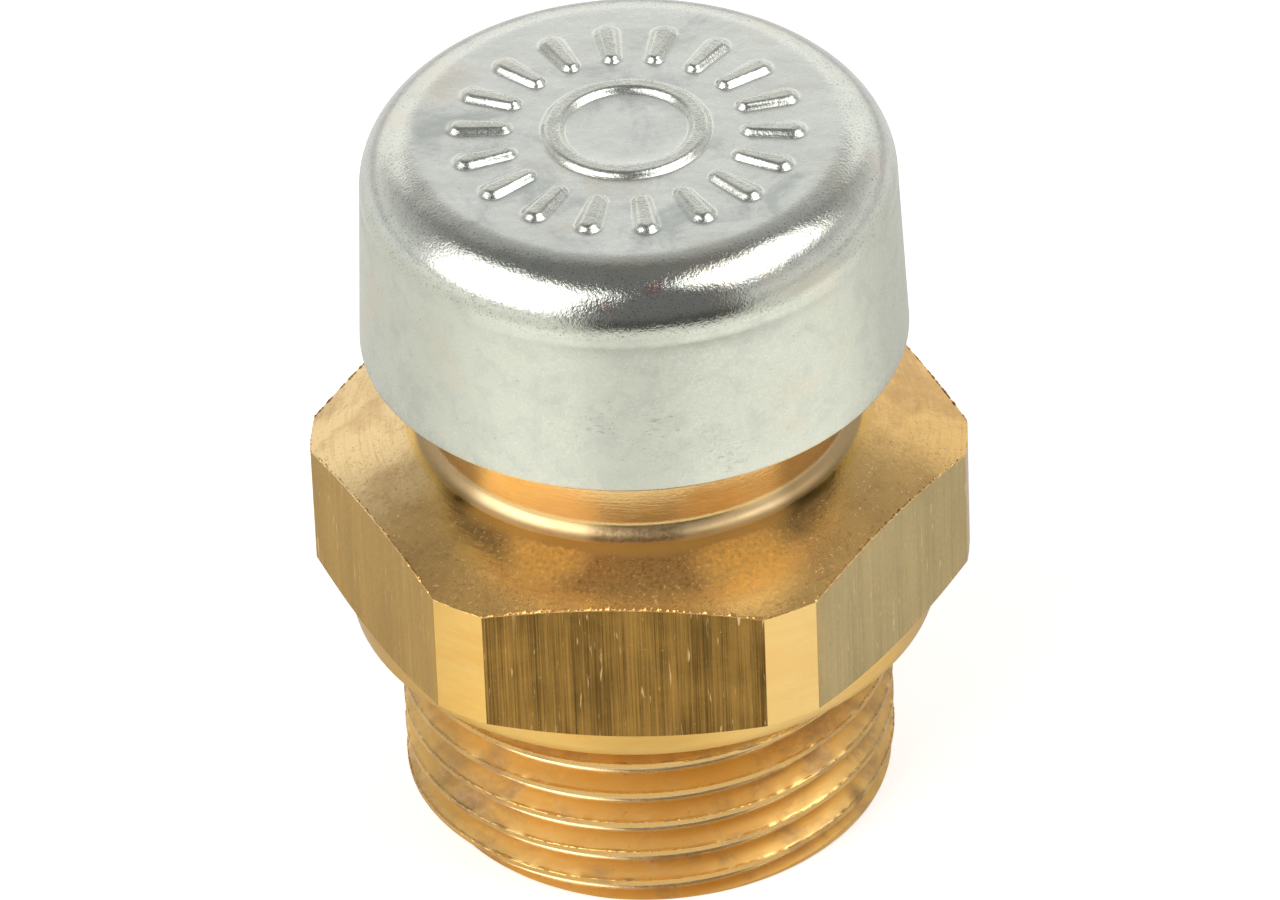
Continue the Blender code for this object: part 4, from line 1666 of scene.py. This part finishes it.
    def greys(self, nodes: Nodes, height: Socket, levels: Sequence[tuple[float, float]]) -> Socket:
        """Grey levels by the height of a direction.

        Args:
            nodes: The node tree.
            height: The direction's z.
            levels: Pairs of height and grey, from the lowest up.

        Returns:
            The colour.
        """
        ramp = nodes.add("ShaderNodeValToRGB")
        nodes.feed(ramp.inputs["Fac"], height)
        stops = ramp.color_ramp.elements
        for place, grey in levels:
            stop = stops.new(place)
            stop.color = (grey, grey, grey, 1.0)
        stops.remove(stops[0])
        stops.remove(stops[-1])
        return ramp.outputs["Color"]

    def sector(
        self, nodes: Nodes, x: Socket, y: Socket, azimuth: float, half_angle: float, blur: float
    ) -> Socket:
        """Mask of a sector of the room round the object.

        Args:
            nodes: The node tree.
            x: The x of a place or direction.
            y: Its y.
            azimuth: Middle of the sector, from the front towards +X.
            half_angle: Half its width.
            blur: Half the width of its soft edges.

        Returns:
            The mask.
        """
        ahead = nodes.maths("MULTIPLY", y, -math.cos(azimuth))
        reach = nodes.maths("MULTIPLY_ADD", x, math.sin(azimuth), ahead)
        turn = nodes.maths("DIVIDE", reach, nodes.maths("MAXIMUM", nodes.from_axis(x, y), 1e-5))
        return nodes.remap(turn, math.cos(half_angle + blur), math.cos(half_angle - blur))

    def floor(self) -> None:
        """Adds the white floor, which keeps the object's shadow."""
        clear_selection()
        bpy.ops.mesh.primitive_plane_add(size=self.floor_size, location=(0.0, 0.0, 0.0))
        ground = bpy.context.active_object
        ground.name = "floor"
        pick(ground)
        bpy.ops.object.mode_set(mode="EDIT")
        bpy.ops.mesh.select_all(action="SELECT")
        bpy.ops.transform.translate(value=(0.0, 0.0, -self.floor_gap))
        bpy.ops.object.mode_set(mode="OBJECT")
        bench = Bench("white_floor")
        path = bench.add("ShaderNodeLightPath")
        x, y, _ = bench.split()
        flat = bench.from_axis(x, y)
        front = self.sector(bench, x, y, self.dark_azimuth, self.dark_half_angle, self.dark_blur)
        table_edge = bench.both(bench.remap(flat, *self.table_edge), front)
        shade = bench.both(table_edge, bench.without(path.outputs["Is Camera Ray"]))
        bench.feed(bench.shader.inputs["Base Color"], bench.blend(shade, self.floor_white, self.table_dark))
        bench.feed(bench.shader.inputs["Roughness"], 0.9)
        bench.feed(bench.shader.inputs["Specular IOR Level"], 0.0)
        facing = self.sector(bench, x, y, self.bright_azimuth, self.bright_half_angle, self.bright_blur)
        ring = bench.both(bench.remap(flat, *self.ring_start), bench.remap(flat, *self.ring_end))
        ahead = self.sector(bench, x, y, self.ahead_azimuth, self.ahead_half_angle, self.ahead_blur)
        near = bench.both(path.outputs["Is Glossy Ray"], ring, facing, bench.partly(ahead, -0.7, 1.0))
        seen = bench.partly(path.outputs["Is Camera Ray"], self.floor_lit)
        glow = bench.both(bench.most(seen, bench.partly(near, self.floor_mirrored)), bench.without(shade))
        bench.feed(bench.shader.inputs["Emission Color"], WHITE)
        bench.feed(bench.shader.inputs["Emission Strength"], glow)
        ground.data.materials.append(bench.material)

    def build(self) -> None:
        """Sets up the whole studio."""
        self.world()
        self.floor()
        self.softbox("softbox_left", azimuth=-53.0, elevation=32.0, width=0.60, height=0.54, glow=1.1)
        self.softbox("softbox_left_core", azimuth=-50.0, elevation=33.0, width=0.40, height=0.38, glow=1.4)
        self.softbox("softbox_right", azimuth=79.0, elevation=53.0, width=0.42, height=0.34, glow=1.2)
        self.softbox("softbox_right_core", azimuth=79.0, elevation=54.0, width=0.30, height=0.22, glow=1.5)
        self.camera()
        bpy.context.scene.view_settings.view_transform = "Standard"


def main() -> None:
    """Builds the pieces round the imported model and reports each."""
    logging.basicConfig(level=logging.INFO, format="%(name)s: %(message)s")
    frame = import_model()
    turned_brass = TurnedBrass().material()
    zinc = ZincPlate().material()
    disc_zinc = PlainSteel("disc_zinc", light=(0.70, 0.73, 0.72), dark=(0.55, 0.58, 0.58)).material()
    spring_steel = PlainSteel("spring_steel", light=(0.56, 0.57, 0.58), dark=(0.40, 0.41, 0.42)).material()
    stainless = PlainSteel("stainless_sheet", light=(0.68, 0.68, 0.67), dark=(0.54, 0.54, 0.53)).material()

    plug = ScrewPlug()
    thread_brass = ThreadBrass().material()
    plug.build([turned_brass, DrawnBrass().material(), thread_brass])
    plug.torn_edge(thread_brass)
    PressedCap().build(zinc)
    ValveSpring().build(spring_steel)
    SnapRing("filter_ring_wire", "filter_ring", plug.filter_bore_r, plug.filter_ring_z).build(spring_steel)
    SnapRing("guard_ring_wire", "guard_ring", plug.guard_bore_r, plug.guard_ring_z).build(spring_steel)
    SplashGuard().build(disc_zinc)
    KeptSolids(
        {
            "cap_spider": spring_steel,
            "valve_disc": disc_zinc,
            "valve_seal": NitrileRubber().material(),
            "upper_screen": stainless,
            "lower_screen": stainless,
            "filter_pad": KnittedWire().material(),
        }
    ).dress(frame["nodes"])
    Studio().build()


if __name__ == "__main__":
    main()
